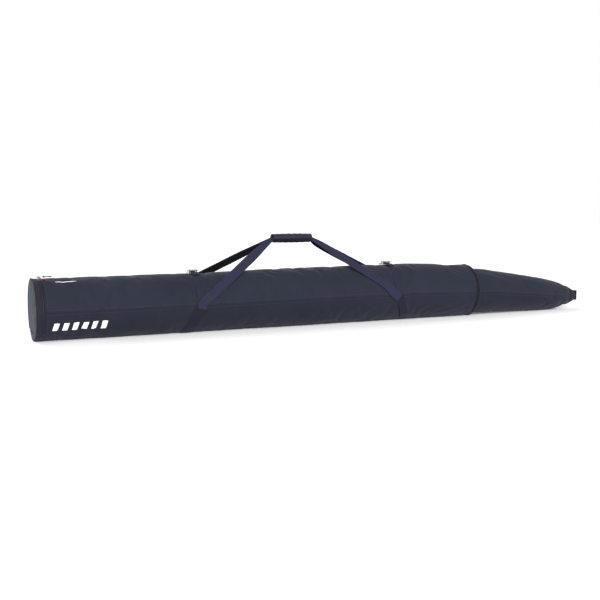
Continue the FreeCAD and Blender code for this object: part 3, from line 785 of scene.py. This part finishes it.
def round_tube(name, centres, radius, material, sides=10):
    """A cord or wire along a line of points, with a UV that runs round and along it."""
    centres = [Vector(c) for c in centres]
    count = len(centres)
    radii = radius if hasattr(radius, "__len__") else [radius] * count
    normal = (centres[1] - centres[0]).orthogonal().normalized()
    verts, uvs = [], []
    distance = 0.0
    for i, centre in enumerate(centres):
        along = (centres[min(i + 1, count - 1)] - centres[max(i - 1, 0)]).normalized()
        normal = (normal - along * normal.dot(along)).normalized()
        side = along.cross(normal)
        if i:
            distance += (centre - centres[i - 1]).length
        for k in range(sides):
            turn = 2 * math.pi * k / sides
            verts.append(centre + (normal * math.cos(turn) + side * math.sin(turn)) * radii[i])
            uvs.append((distance, turn * radii[i]))
    made = add_object(name, verts, closed_tube_faces(count, sides), material, uvs)
    fix_normals(made)
    return made


def stitches(name, line, outs, body, pitch=0.0034, length=0.0024, radius=0.00036, lift=0.0001):
    """A row of sewn thread, each stitch a short rounded bead lying on the cloth."""
    line = [Vector(p) for p in line]
    steps = np.array([0] + [(b - a).length for a, b in zip(line, line[1:])])
    reach = np.cumsum(steps)
    verts, faces = [], []
    profile = [(-0.5, 0.35), (-0.36, 0.9), (0.0, 1.0), (0.36, 0.9), (0.5, 0.35)]
    sides = 6
    for k in range(int(reach[-1] / pitch)):
        middle = (k + 0.5) * pitch
        i = min(int(np.searchsorted(reach, middle)), len(line) - 1)
        share = (middle - reach[i - 1]) / max(reach[i] - reach[i - 1], 1e-9)
        place = line[i - 1].lerp(line[i], share)
        along = (line[i] - line[i - 1]).normalized()
        out = Vector(outs[i])
        out = (out - along * out.dot(along)).normalized()
        side = along.cross(out)
        first = len(verts)
        for offset, size in profile:
            for m in range(sides):
                turn = 2 * math.pi * m / sides
                spot = side * math.cos(turn) + out * math.sin(turn)
                verts.append(place + out * lift + along * offset * length + spot * size * radius)
        faces.extend(bead_faces(first, len(profile), sides))
    made = add_object(name, verts, faces, "thread")
    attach(made, body)
    return made


def join(name, made):
    """Several objects as one piece."""
    edit = bmesh.new()
    keep = made[0].data.materials[0]
    for other in made:
        edit.from_mesh(other.data)
    mesh = bpy.data.meshes.new(name)
    edit.to_mesh(mesh)
    edit.free()
    mesh.materials.append(keep)
    joined = bpy.data.objects.new(name, mesh)
    scene.collection.objects.link(joined)
    for other in made:
        bpy.data.objects.remove(other)
    return joined


# ---------------------------------------------------------------- layers inside the cloth
def inner_layer(name, shell, first, last, gap, depth, material, body, node):
    """A layer lying inside a shell's wrinkled cloth, from a gap under it to a plain depth."""
    points, runs, phis, radius = shells[shell]
    point_at = main_point if shell == "main" else tail_point
    rows = [i for i, run in enumerate(runs) if first < run < last]
    ring_size = len(phis) - 1
    verts = []
    for i in rows:
        inner = []
        for j in range(ring_size):
            out = (point_at(runs[i], phis[j], 0.01) - point_at(runs[i], phis[j], -0.01)).normalized()
            deep = point_at(runs[i], phis[j], -depth)
            spot = Vector(points[i, j]) - out * gap
            spot.z = max(spot.z, 0.0018)
            if (spot - deep).dot(out) < 0.0006:
                spot = deep + out * 0.0006
            verts.append(spot)
            inner.append(deep)
        verts.extend(reversed(inner))
    count = 2 * ring_size
    faces = []
    for r in range(len(rows) - 1):
        for c in range(ring_size):
            d = (c + 1) % ring_size
            a, b = r * count, (r + 1) * count
            faces.append((a + c, a + d, b + d, b + c))
            faces.append((a + count - 1 - d, a + count - 1 - c, b + count - 1 - c, b + count - 1 - d))
    for a in (0, (len(rows) - 1) * count):
        for c in range(ring_size):
            d = (c + 1) % ring_size
            faces.append((a + c, a + d, a + count - 1 - d, a + count - 1 - c))
    made = add_object(name, verts, faces, material)
    fix_normals(made)
    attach(made, body)
    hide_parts(node)
    return made


def make_layers():
    foam = inner_layer("padding_sleeve", "main", 0.033, 1.553, 0.0018, 0.0062, "foam", "bag",
                       "foam_padding")
    inner_layer("tail_lining_cloth", "tail", 1.449, 2.066, 0.0015, 0.0046, "lining", "tail",
                "tail_lining")


# ---------------------------------------------------------------- the zipped end
CHORD_ANGLE = math.acos((CHORD_Z - END_CENTRE_Z) / END_RADIUS)
PANEL_RUN = 0.001
GUSSET_END = 0.014
FLAP_TAPE_END = 0.0204
BAG_TAPE_START = 0.0228


def end_point(run, phi, proud=0.0):
    radius = END_RADIUS + proud
    return Vector((run - LENGTH / 2, -radius * math.sin(phi), END_CENTRE_Z + radius * math.cos(phi)))


def band(name, profile, low, high, steps, material, body, ripple=0.0, waves=40):
    """A strip round the end: profile gives (run, proud) points across it, closed into a solid."""
    verts, uvs = [], []
    for i in range(steps + 1):
        phi = low + (high - low) * i / steps
        for run, proud in profile:
            wave = ripple * math.cos(phi * waves + run * 300) if proud > -0.0008 else 0.0
            place = end_point(run, phi, proud + wave)
            place.z = max(place.z, 0.0004)
            verts.append(place)
            uvs.append((phi * END_RADIUS, run))
    made = add_object(name, verts, closed_tube_faces(steps + 1, len(profile)), material, uvs)
    fix_normals(made)
    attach(made, body)
    return made


def end_disc(name, low_angle, high_angle, body, dome, nodes, thick=0.0013):
    """A domed panel between the fold line and the rim, above it for the flap, below for the sill."""
    chord_half = END_RADIUS * math.sin(CHORD_ANGLE)
    above = low_angle < 0
    steps, rings = 110, 26
    verts, uvs = [], []
    for i in range(steps + 1):
        phi = low_angle + (high_angle - low_angle) * i / steps
        rim = end_point(PANEL_RUN, phi, -0.0006)
        share = i / steps
        base_y = chord_half * (1 - 2 * share) if above else chord_half * (2 * share - 1)
        fold_z = CHORD_Z + (0.0009 if above else -0.0009)
        base = Vector((rim.x, base_y, fold_z))
        for k in range(rings + 1):
            t = k / rings
            place = base.lerp(rim, t)
            away = math.hypot(place.y, place.z - END_CENTRE_Z) / END_RADIUS
            level = min(1.0, max(0.0, (place.z - CHORD_Z) / 0.05)) if above else 0.0
            crease = 0.0007 * math.cos(phi * 13) * t * t + noise_lift(place, 0.03, 0.0011) * (1 - t ** 6)
            bulge = dome * (1 - away ** 2.4) * level
            place.x -= max(bulge + crease * level, 0.0)
            place.z = max(place.z, 0.0005)
            verts.append(place)
            uvs.append((place.y, place.z))
    made = add_object(name, verts, grid_faces(steps + 1, rings + 1), "end", uvs)
    fix_normals(made)
    outward = made.data.polygons[len(made.data.polygons) // 2].normal.x < 0
    modify(made, "SOLIDIFY", thickness=thick, offset=-1.0 if outward else 1.0)
    bake_modifiers(made)
    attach(made, body)
    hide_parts(*nodes)


TOOTH_TURNS = (-0.42, -0.30, 0.30, 0.42)    # across one tooth, in pitches


def zip_teeth(name, run_from, run_to, first_phase, body):
    """One side of the coil: a rounded loop of nylon for every tooth, leaning over the middle."""
    pitch = 0.0019
    total = 2 * (CHORD_ANGLE - 0.05) * END_RADIUS
    verts, faces = [], []
    hook = 1 if run_to > run_from else -1
    profile = [(0.0, 0.0), (0.35, 0.55), (0.75, 0.85), (1.0, 0.55), (0.92, 0.0), (0.5, -0.35)]
    reach = abs(run_to - run_from)
    for k in range(int(total / pitch)):
        middle = (k + first_phase) * pitch / END_RADIUS - (CHORD_ANGLE - 0.05)
        first = len(verts)
        for turn in TOOTH_TURNS:
            phi = middle + turn * pitch / END_RADIUS
            slim = 0.8 if abs(turn) > 0.35 else 1.0
            for share, height in profile:
                run = run_from + hook * reach * share
                verts.append(end_point(run, phi, 0.0002 + 0.0011 * height * slim))
        faces.extend(bead_faces(first, len(TOOTH_TURNS), len(profile)))
    made = add_object(name, verts, faces, "tooth")
    fix_normals(made)
    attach(made, body)


def make_end():
    limit = CHORD_ANGLE - 0.006
    end_disc("end_flap_cloth", -limit, limit, "end_flap", 0.0030, ["end_panel"])
    lower = math.pi - CHORD_ANGLE - 0.004
    end_disc("end_sill_cloth", math.pi - lower, math.pi + lower, "bag", 0.0, ["end_sill"])

    thick = 0.0013
    gusset = [(PANEL_RUN, -thick), (PANEL_RUN, 0), (0.005, 0.0006), (0.009, 0.0005), (GUSSET_END, 0.0),
              (GUSSET_END, -thick), (0.009, -thick), (0.005, -thick)]
    made = band("end_gusset_cloth", gusset, -limit, limit, 220, "fabric", "end_flap", 0.0003, 46)
    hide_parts("end_gusset")
    sill = [(PANEL_RUN, -0.003), (PANEL_RUN, 0), (0.008, 0.0003), (0.020, 0.0003), (SHELL_START, 0.0),
            (SHELL_START, -0.003), (0.015, -0.003)]
    # The sill band uses the darker belly material, which is painted shade.
    band("end_sill_band", sill, math.pi - lower, math.pi + lower, 60, "belly", "bag", 0.0003, 46)

    # Piping: a covered cord all round the rim.
    piping_low = math.acos((CHORD_Z + 0.005 - END_CENTRE_Z) / (END_RADIUS + 0.0018))
    centres = []
    for i in range(181):
        phi = -piping_low + 2 * piping_low * i / 180
        wobble = 0.0002 * math.sin(i * 1.7)
        centres.append(end_point(0.0016, phi, 0.0012 + wobble))
    made = round_tube("end_piping_cord", centres, 0.0019, "piping", 12)
    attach(made, "end_flap")
    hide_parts("end_piping")

    tape = [(0.0, -0.0011), (0.0, -0.0002), (0.35, 0.0), (0.75, 0.0), (1.0, -0.0002), (1.0, -0.0011)]
    for name, low, high, node, body in (
        ("flap_tape_cloth", GUSSET_END - 0.0004, FLAP_TAPE_END, "flap_zip_tape", "end_flap"),
        ("bag_tape_cloth", BAG_TAPE_START, SHELL_START + 0.0004, "bag_zip_tape", "bag"),
    ):
        profile = [(low + (high - low) * share, proud) for share, proud in tape]
        made = band(name, profile, -limit, limit, 200, "zip_tape", body)
        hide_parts(node)
    zip_teeth("flap_zip_teeth", 0.0186, 0.0224, 0.25, "end_flap")
    zip_teeth("bag_zip_teeth", 0.0246, 0.0208, 0.75, "bag")

    for name, run, body in (("flap_topstitch", 0.0128, "end_flap"), ("shell_topstitch", 0.0325, "bag")):
        line, outs = [], []
        for i in range(161):
            phi = -limit + 2 * limit * i / 160
            if body == "bag":
                place, out = on_surface("main", run, phi, 0.0001)
            else:
                place, out = end_point(run, phi, 0.0006), end_point(run, phi, 1) - end_point(run, phi, 0)
            line.append(place)
            outs.append(out)
        stitches(name, line, outs, body)


# ---------------------------------------------------------------- carried-over hardware
def softened(node, body, material, width=0.00025, segments=2):
    """A hard CAD piece again, with its edges broken, as cast or stamped metal has them."""
    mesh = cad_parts[node].data.copy()
    made = bpy.data.objects.new(node + "_finished", mesh)
    scene.collection.objects.link(made)
    paint(mesh, material)
    modify(made, "WELD", merge_threshold=0.00001)
    modify(made, "BEVEL", width=width, segments=segments, limit_method="ANGLE",
           angle_limit=math.radians(35))
    bake_modifiers(made)
    shade_smooth(made.data)
    modify(made, "WEIGHTED_NORMAL", keep_sharp=True)
    bake_modifiers(made)
    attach(made, body)
    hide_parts(node)
    return made


def pull_cord(side):
    """The corded grip of a zip pull: two braided strands side by side, whipped at the ends."""
    node = side + "_pull_cord"
    verts = np.array([v.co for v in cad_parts[node].data.vertices])
    centre = verts.mean(axis=0)
    axis = np.linalg.svd(verts - centre)[2][0]
    axis = axis * np.sign(axis[0])
    spread = (verts - centre) @ axis
    start = Vector(centre + axis * spread.min())
    end = Vector(centre + axis * (spread.max() - 0.0015))
    along = (end - start).normalized()
    out = Vector((0, start.y, start.z - END_CENTRE_Z)).normalized()
    across = along.cross(out).normalized()
    strand = 0.00135
    line = []
    for share in np.linspace(0, 1, 12):
        line.append(start.lerp(end, share) + across * strand * 1.02)
    for turn in np.linspace(0, math.pi, 9)[1:-1]:
        line.append(end + across * strand * 1.02 * math.cos(turn) + along * strand * 1.1 * math.sin(turn))
    for share in np.linspace(1, 0, 12):
        line.append(start.lerp(end, share) - across * strand * 1.02)
    made = round_tube(side + "_pull_braid", line, strand, "cord", 10)
    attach(made, side + "_pull")
    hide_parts(node)
    ring_line = []
    for turn in np.linspace(0, 6 * math.pi, 70):
        place = start.lerp(end, 0.80) + along * 0.0011 * (turn / (6 * math.pi) - 0.5) * 3
        place += across * 0.0031 * math.cos(turn) + out * 0.0018 * math.sin(turn)
        ring_line.append(place)
    whip = round_tube(side + "_pull_whipping", ring_line, 0.00055, "ferrule", 6)
    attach(whip, side + "_pull")


def make_hardware():
    for side in ("left", "right"):
        softened(side + "_buckle_frame", "bag", "buckle", 0.0004)
        softened(side + "_cam_pin", "bag", "steel", 0.0003)
        softened(side + "_cam_lever", side + "_cam", "buckle", 0.0003)
        paint(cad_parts[side + "_cam_spring"].data, "steel")
    for side in ("front", "rear"):
        softened(side + "_slider", side + "_slider_body", "zip_metal", 0.0005, 3)
        softened(side + "_pull_wire", side + "_pull", "zip_metal", 0.00035)
        softened(side + "_pull_ferrule", side + "_pull", "ferrule", 0.0003)
        pull_cord(side)
    softened("zip_stops", "bag", "zip_metal", 0.0003)
    for node, material in (
        ("main_lining", "lining"), ("tail_hem", "lining"), ("end_padding", "foam"),
        ("grip_loop_strip", "velcro"), ("grip_hook_strip", "velcro"),
    ):
        paint(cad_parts[node].data, material)


# ---------------------------------------------------------------- webbing on the bag
def compression_webbing(side, run):
    """Front and rear webbing over the top panel, and its free end through the buckle."""
    turns = {"front": (1.56, 0.10), "rear": (-1.56, -0.10)}
    for end, (low, high) in turns.items():
        centres, outs = laid("main", [(run, low + (high - low) * i / 40) for i in range(41)], 0.0005)
        made = sweep(side + "_" + end + "_webbing", centres, outs, STRAP_WIDTH, 0.0016, "strap")
        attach(made, "bag")
        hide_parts(side + "_" + end + "_strap")

    low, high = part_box(side + "_strap_end")
    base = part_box(side + "_buckle_frame")[0].z
    x = (low.x + high.x) / 2
    over = base + 0.0017
    path = [
        (x, 0.026, base - 0.0014), (x, 0.0225, base + 0.0002), (x, 0.019, over), (x, 0.006, over),
        (x, -0.008, over), (x, -0.018, over), (x + 0.0006, -0.0225, over - 0.0002),
        (x + 0.0016, -0.030, over - 0.0026), (x + 0.003, -0.037, over - 0.0052),
    ]
    line = catmull(path, 5)
    outs = [Vector((0, 0.25 if p.y > 0.02 else -0.12, 1)) for p in line]
    made = sweep(side + "_free_webbing", line, outs, STRAP_WIDTH, 0.0015, "strap")
    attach(made, "bag")
    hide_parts(side + "_strap_end")


def sling_webbing(side, front_run, rear_run):
    """Carry webbing under the belly, slanting all the way from the front seam to the rear one."""
    centres, outs = [], []
    low, high = math.pi / 2 - 0.02, 3 * math.pi / 2 + 0.02
    for i in range(91):
        phi = low + (high - low) * i / 90
        height = max(0.0, min(1.0, main_point(front_run, phi).z / SEAM_Z))
        seam_run = front_run if phi < math.pi else rear_run
        middle_run = (front_run + rear_run) / 2
        place, out = on_surface("main", middle_run + (seam_run - middle_run) * height, phi, 0.0004)
        place.z = max(place.z, 0.0002)
        centres.append(place)
        outs.append(out)
    made = sweep(side + "_sling_webbing", centres, outs, CARRY_WIDTH, 0.0016, "sling")
    for vertex in made.data.vertices:
        vertex.co.z = max(vertex.co.z, 0.0001)
    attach(made, "bag")
    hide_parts(side + "_sling")


def anchor(side, run, face):
    """The folded end of the webbing, box-stitched to the sling below the side seam."""
    seam = face * math.pi / 2
    spots = [(run, seam + face * (-0.005 + 0.19 * i / 12)) for i in range(13)]
    centres, outs = laid("main", spots, 0.0021)
    made = sweep(side + "_patch", centres, outs, PATCH_WIDTH, PATCH_THICK, "binding")
    made.name = side + ("_front" if face > 0 else "_rear") + "_anchor"
    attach(made, "bag")
    half = PATCH_SEWN / 2
    across = Vector((1, 0, 0))
    top, bottom = centres[1] + outs[1] * PATCH_THICK, centres[-2] + outs[-2] * PATCH_THICK
    middle_out = outs[6]
    rows = [
        [top - across * half, top + across * half],
        [bottom - across * half, bottom + across * half],
    ]
    edge_left = [c + o * PATCH_THICK - across * half for c, o in zip(centres[1:-1], outs[1:-1])]
    edge_right = [c + o * PATCH_THICK + across * half for c, o in zip(centres[1:-1], outs[1:-1])]
    rows += [edge_left, edge_right]
    pairs = list(enumerate(zip(edge_left, edge_right)))
    last = len(pairs) - 1
    rows += [[l.lerp(r, k / last) for k, (l, r) in pairs], [l.lerp(r, 1 - k / last) for k, (l, r) in pairs]]
    threads = [stitches("row%d" % k, row, [middle_out] * len(row), "bag", 0.003, 0.0022, 0.00038, 0.0)
               for k, row in enumerate(rows)]
    sewn = join(made.name + "_stitches", threads)
    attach(sewn, "bag")
    return made


def make_webbing():
    for side, run in (("left", LEFT_STRAP_RUN), ("right", RIGHT_STRAP_RUN)):
        compression_webbing(side, run)
        sling_webbing(side, *ANCHORS[side])
        for face in (1, -1):
            made = anchor(side, ANCHORS[side][0 if face > 0 else 1], face)
            if side == "left" and face > 0:
                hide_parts("anchor_patches")


# ---------------------------------------------------------------- carry handle
def carry_webbing(side, name):
    """One loop of carry webbing: up from its anchor, straight to the grip, and down again."""
    face = -side
    end = 0 if side < 0 else 1
    lift = 0.0030 if side < 0 else 0.0052
    grip_z = GRIP_CENTRE_Z - 0.0010
    halves = []
    for anchor_name, toward, offsets, inner, outer in (
        ("left", 1, (0.0, 0.008, 0.031, 0.053), GRIP_LOW, -1),
        ("right", -1, (0.0, 0.028, 0.046, 0.068), GRIP_HIGH, 1),
    ):
        leg = []
        for phi_degrees, offset in zip((97, 84, 73, 63), offsets):
            run = ANCHORS[anchor_name][end] + toward * offset
            phi = face * math.radians(phi_degrees)
            place, out = on_surface("main", run, phi, lift)
            leg.append((place, out, CARRY_WIDTH))
        x = inner - LENGTH / 2
        slope = Vector((0, side * 0.82, 0.57))
        ahead = Vector((x + outer * 0.034, side * 0.0155, grip_z - 0.0195))
        foot = leg[-1][0]
        for share in (0.25, 0.5, 0.75):
            leg.append((foot.lerp(ahead, share), leg[-1][1].lerp(slope, 0.4), CARRY_WIDTH))
        leg.append((ahead, slope, 0.023))
        leg.append((Vector((x + outer * 0.003, side * 0.0034, grip_z - 0.0015)), slope, 0.0150))
        leg.append((Vector((x - outer * 0.012, side * 0.0018, grip_z)), slope, 0.0140))
        halves.append(leg)
    stations = halves[0] + halves[1][::-1]
    points = catmull([s[0] for s in stations], 9)
    outs = catmull([s[1] for s in stations], 9)
    widths = [v.x for v in catmull([(s[2], 0, 0) for s in stations], 9)]
    # The loop's inner face takes the under material: painted shade.
    made = sweep(name + "_carry_webbing", points, outs, widths, 0.0018, "webbing", "under")
    modify(made, "SUBSURF", levels=1, render_levels=1)
    bake_modifiers(made)
    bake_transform(made)
    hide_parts(name + "_carry_loop")


def grip_sheet(name, size, low, high, thick, material, body, node, overhang=0.0):
    """A padded wrap round the grip between two angles, softly dented and pulled in by its edges."""
    length_steps, turn_steps = 70, 36
    verts, uvs = [], []
    middle = (GRIP_LOW + GRIP_HIGH) / 2
    half = (GRIP_HIGH - GRIP_LOW) / 2 + overhang
    for i in range(length_steps + 1):
        t = 2 * i / length_steps - 1
        run = middle + half * t
        for j in range(turn_steps + 1):
            turn = low + (high - low) * j / turn_steps
            edge = min(j, turn_steps - j) / turn_steps
            crown = 0.0008 * math.cos(t * math.pi / 2) * min(1.0, edge * 6)
            ripple = 0.00035 * math.sin(t * 21 + turn * 3) * (1 - abs(t) ** 4)
            radius = size + crown + ripple
            y = -(radius + GRIP_OVAL) * math.cos(turn)
            verts.append(Vector((run - LENGTH / 2, y, GRIP_CENTRE_Z + radius * math.sin(turn))))
            uvs.append((run, turn * size))
    made = add_object(name, verts, grid_faces(length_steps + 1, turn_steps + 1), material, uvs)
    fix_normals(made)
    outward = looks_out(made, len(made.data.polygons) // 2, GRIP_CENTRE_Z)
    modify(made, "SOLIDIFY", thickness=thick, offset=-1.0 if outward else 1.0)
    modify(made, "BEVEL", width=thick * 0.4, segments=2, limit_method="ANGLE", angle_limit=math.radians(40))
    bake_modifiers(made)
    shade_smooth(made.data)
    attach(made, body)
    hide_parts(node)
    return made


def make_handle():
    carry_webbing(-1, "front")
    carry_webbing(1, "rear")
    top = math.pi
    grip_sheet("grip_cover_cloth", FLAP_OUT - 0.0002, 0.02, top - 0.02, 0.0013, "grip",
               "grip_cover", "grip_flap")
    sleeve = grip_sheet("grip_sleeve_cloth", SLEEVE_OUT - 0.0002, -top, top, 0.0040, "binding",
                        "handle", "grip_sleeve", -0.002)
    for edge, turn in (("front", 0.16), ("rear", top - 0.16)):
        line, outs = [], []
        for i in range(41):
            run = GRIP_LOW + 0.004 + (GRIP_HIGH - GRIP_LOW - 0.008) * i / 40
            radius = FLAP_OUT
            out = Vector((0, -math.cos(turn), math.sin(turn)))
            line.append(Vector((run - LENGTH / 2, -(radius + GRIP_OVAL) * math.cos(turn),
                                GRIP_CENTRE_Z + radius * math.sin(turn))))
            outs.append(out)
        stitches("grip_%s_stitches" % edge, line, outs, "grip_cover")


# ---------------------------------------------------------------- mouth, tip, seams and marks
def revolve(name, point_at, profile, steps, material, body, node, ripple=0.0, waves=23):
    """A closed ring round the bag, whose section is a loop of (run, proud) points."""
    verts, uvs = [], []
    for i in range(steps):
        phi = 2 * math.pi * i / steps
        bump = 1 + 0.5 * math.exp(-(math.remainder(phi, 2 * math.pi) / 0.09) ** 2)
        for run, proud in profile:
            wave = ripple * math.cos(phi * waves) * (1 if proud > 0 else 0)
            place = point_at(run, phi, (proud * bump if proud > 0 else proud) + wave)
            place.z = max(place.z, 0.0003 if proud > 0 else 0.0008)
            verts.append(place)
            uvs.append((phi * 0.093, run))
    faces = grid_faces(steps, len(profile), True)
    size = len(profile)
    last = (steps - 1) * size
    for m in range(size):
        n = (m + 1) % size
        faces.append((last + m, last + n, n, m))
    made = add_object(name, verts, faces, material, uvs)
    fix_normals(made)
    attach(made, body)
    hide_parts(node)
    return made


def tail_tip():
    """Binding tape gathered round the tip, closing on the root of the grab tab."""
    rings = [
        (2.0345, 0.0004), (2.0355, 0.0016), (2.044, 0.0018), (2.056, 0.0016), (2.064, 0.0018),
        (2.0695, 0.0014),
    ]
    steps = 72
    verts, uvs = [], []
    for k, (run, proud) in enumerate(rings):
        for i in range(steps):
            phi = 2 * math.pi * i / steps
            gather = 0.0005 * math.cos(phi * 14 + k)
            verts.append(tail_point(run, phi, proud + gather))
            uvs.append((phi * 0.03, run))
    centre_z = 0.051
    for run, share in ((2.0716, 0.86), (2.0722, 0.6), (2.0724, 0.32)):
        for i in range(steps):
            phi = 2 * math.pi * i / steps
            rim = tail_point(2.0695, phi, 0.0006)
            root = Vector((rim.x, -0.0030 * math.sin(phi), centre_z + 0.0135 * math.cos(phi)))
            place = root.lerp(rim, share)
            place.x = run - LENGTH / 2
            verts.append(place)
            uvs.append((phi * 0.03 * share, run))
    rows = len(rings) + 3
    faces = grid_faces(rows, steps, True)
    faces.append(tuple(range((rows - 1) * steps, rows * steps)))
    made = add_object("tail_tip_tape", verts, faces, "binding", uvs)
    fix_normals(made)
    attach(made, "tail")
    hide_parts("tail_tip_binding")

    path = [
        (2.0744, -0.0002), (2.0780, -0.0005), (2.0822, -0.0034), (2.0870, -0.0064), (2.0920, -0.0071),
        (2.0962, -0.0050), (2.0982, 0.0), (2.0962, 0.0050), (2.0920, 0.0071), (2.0870, 0.0064),
        (2.0822, 0.0034), (2.0780, 0.0005), (2.0744, 0.0002),
    ]
    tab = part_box("tail_tab")
    middle = (tab[0].z + tab[1].z) / 2
    line = catmull([(run - LENGTH / 2, y, middle) for run, y in path], 5)
    outs = []
    for i, place in enumerate(line):
        along = line[min(i + 1, len(line) - 1)] - line[max(i - 1, 0)]
        outs.append(Vector((along.y, -along.x, 0)).normalized())
    made = sweep("tail_grab_webbing", line, outs, 0.0375, 0.0017, "binding")
    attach(made, "tail_grab")
    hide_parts("tail_tab")


def side_seams():
    """Topstitching above and below each side seam, on the main section and on the tail."""
    for shell, body, low, high in (("main", "bag", 0.036, 1.540), ("tail", "tail", 1.560, 2.032)):
        for face, where in ((1, "front"), (-1, "rear")):
            for offset in (-0.0070, 0.0070):
                phi = face * (math.pi / 2 + offset / shells[shell][3])
                count = int((high - low) / 0.008)
                spots = [(low + (high - low) * i / count, phi) for i in range(count + 1)]
                line, outs = laid(shell, spots, 0.0001)
                name = "%s_%s_seam_%s" % (shell, where, "low" if offset > 0 else "high")
                stitches(name, line, outs, body, 0.0042, 0.0030, 0.00036)


def print_patch(name, corners, rows, columns, proud):
    """A thin printed patch on the front of the bag, between four (run, phi) corners."""
    (a, b, c, d) = corners
    verts, uvs = [], []
    for i in range(rows + 1):
        for j in range(columns + 1):
            s, t = i / rows, j / columns
            run = (a[0] * (1 - t) + b[0] * t) * (1 - s) + (d[0] * (1 - t) + c[0] * t) * s
            phi = (a[1] * (1 - t) + b[1] * t) * (1 - s) + (d[1] * (1 - t) + c[1] * t) * s
            verts.append(on_surface("main", run, phi, proud)[0])
            uvs.append((run, phi * 0.095))
    made = add_object(name, verts, grid_faces(rows + 1, columns + 1), "print", uvs)
    fix_normals(made)
    outward = looks_out(made, 0, END_CENTRE_Z)
    modify(made, "SOLIDIFY", thickness=PRINT_THICK, offset=-1.0 if outward else 1.0)
    bake_modifiers(made)
    return made


def marks():
    """Plain slanted bars and a blank label, where the real bag carries its print."""
    def phi_at(z):
        return math.pi - math.acos(max(-1, min(1, (END_CENTRE_Z - z) / END_RADIUS)))
    bars = []
    for i in range(BAR_COUNT):
        low = BAR_START + i * BAR_STEP
        top, bottom = phi_at(BAR_TOP_Z), phi_at(BAR_LOW_Z)
        corners = [(low + BAR_SLANT, top), (low + BAR_SLANT + BAR_WIDTH, top), (low + BAR_WIDTH, bottom),
                   (low, bottom)]
        bars.append(print_patch("bar%d" % i, corners, 8, 5, 0.0008))
    made = join("side_print", bars)
    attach(made, "bag")
    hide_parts("side_bars")
    corners = [(0.064, 0.420), (0.124, 0.425), (0.124, 0.450), (0.064, 0.452)]
    made = print_patch("shoulder_tag", corners, 3, 20, 0.0009)
    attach(made, "bag")
    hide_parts("shoulder_label")


def make_trim():
    binding = [
        (1.5430, 0.0), (1.5436, 0.0016), (1.5480, 0.0021), (1.5540, 0.0020), (1.5568, 0.0010),
        (1.5572, -0.0020), (1.5568, -0.0060), (1.5540, -0.0076), (1.5500, -0.0076), (1.5500, -0.0020),
    ]
    revolve("mouth_tape", main_point, binding, 240, "binding", "bag", "mouth_binding", 0.0003)
    tail_tip()
    side_seams()
    marks()


make_layers()
make_end()
make_hardware()
make_webbing()
make_handle()
make_trim()
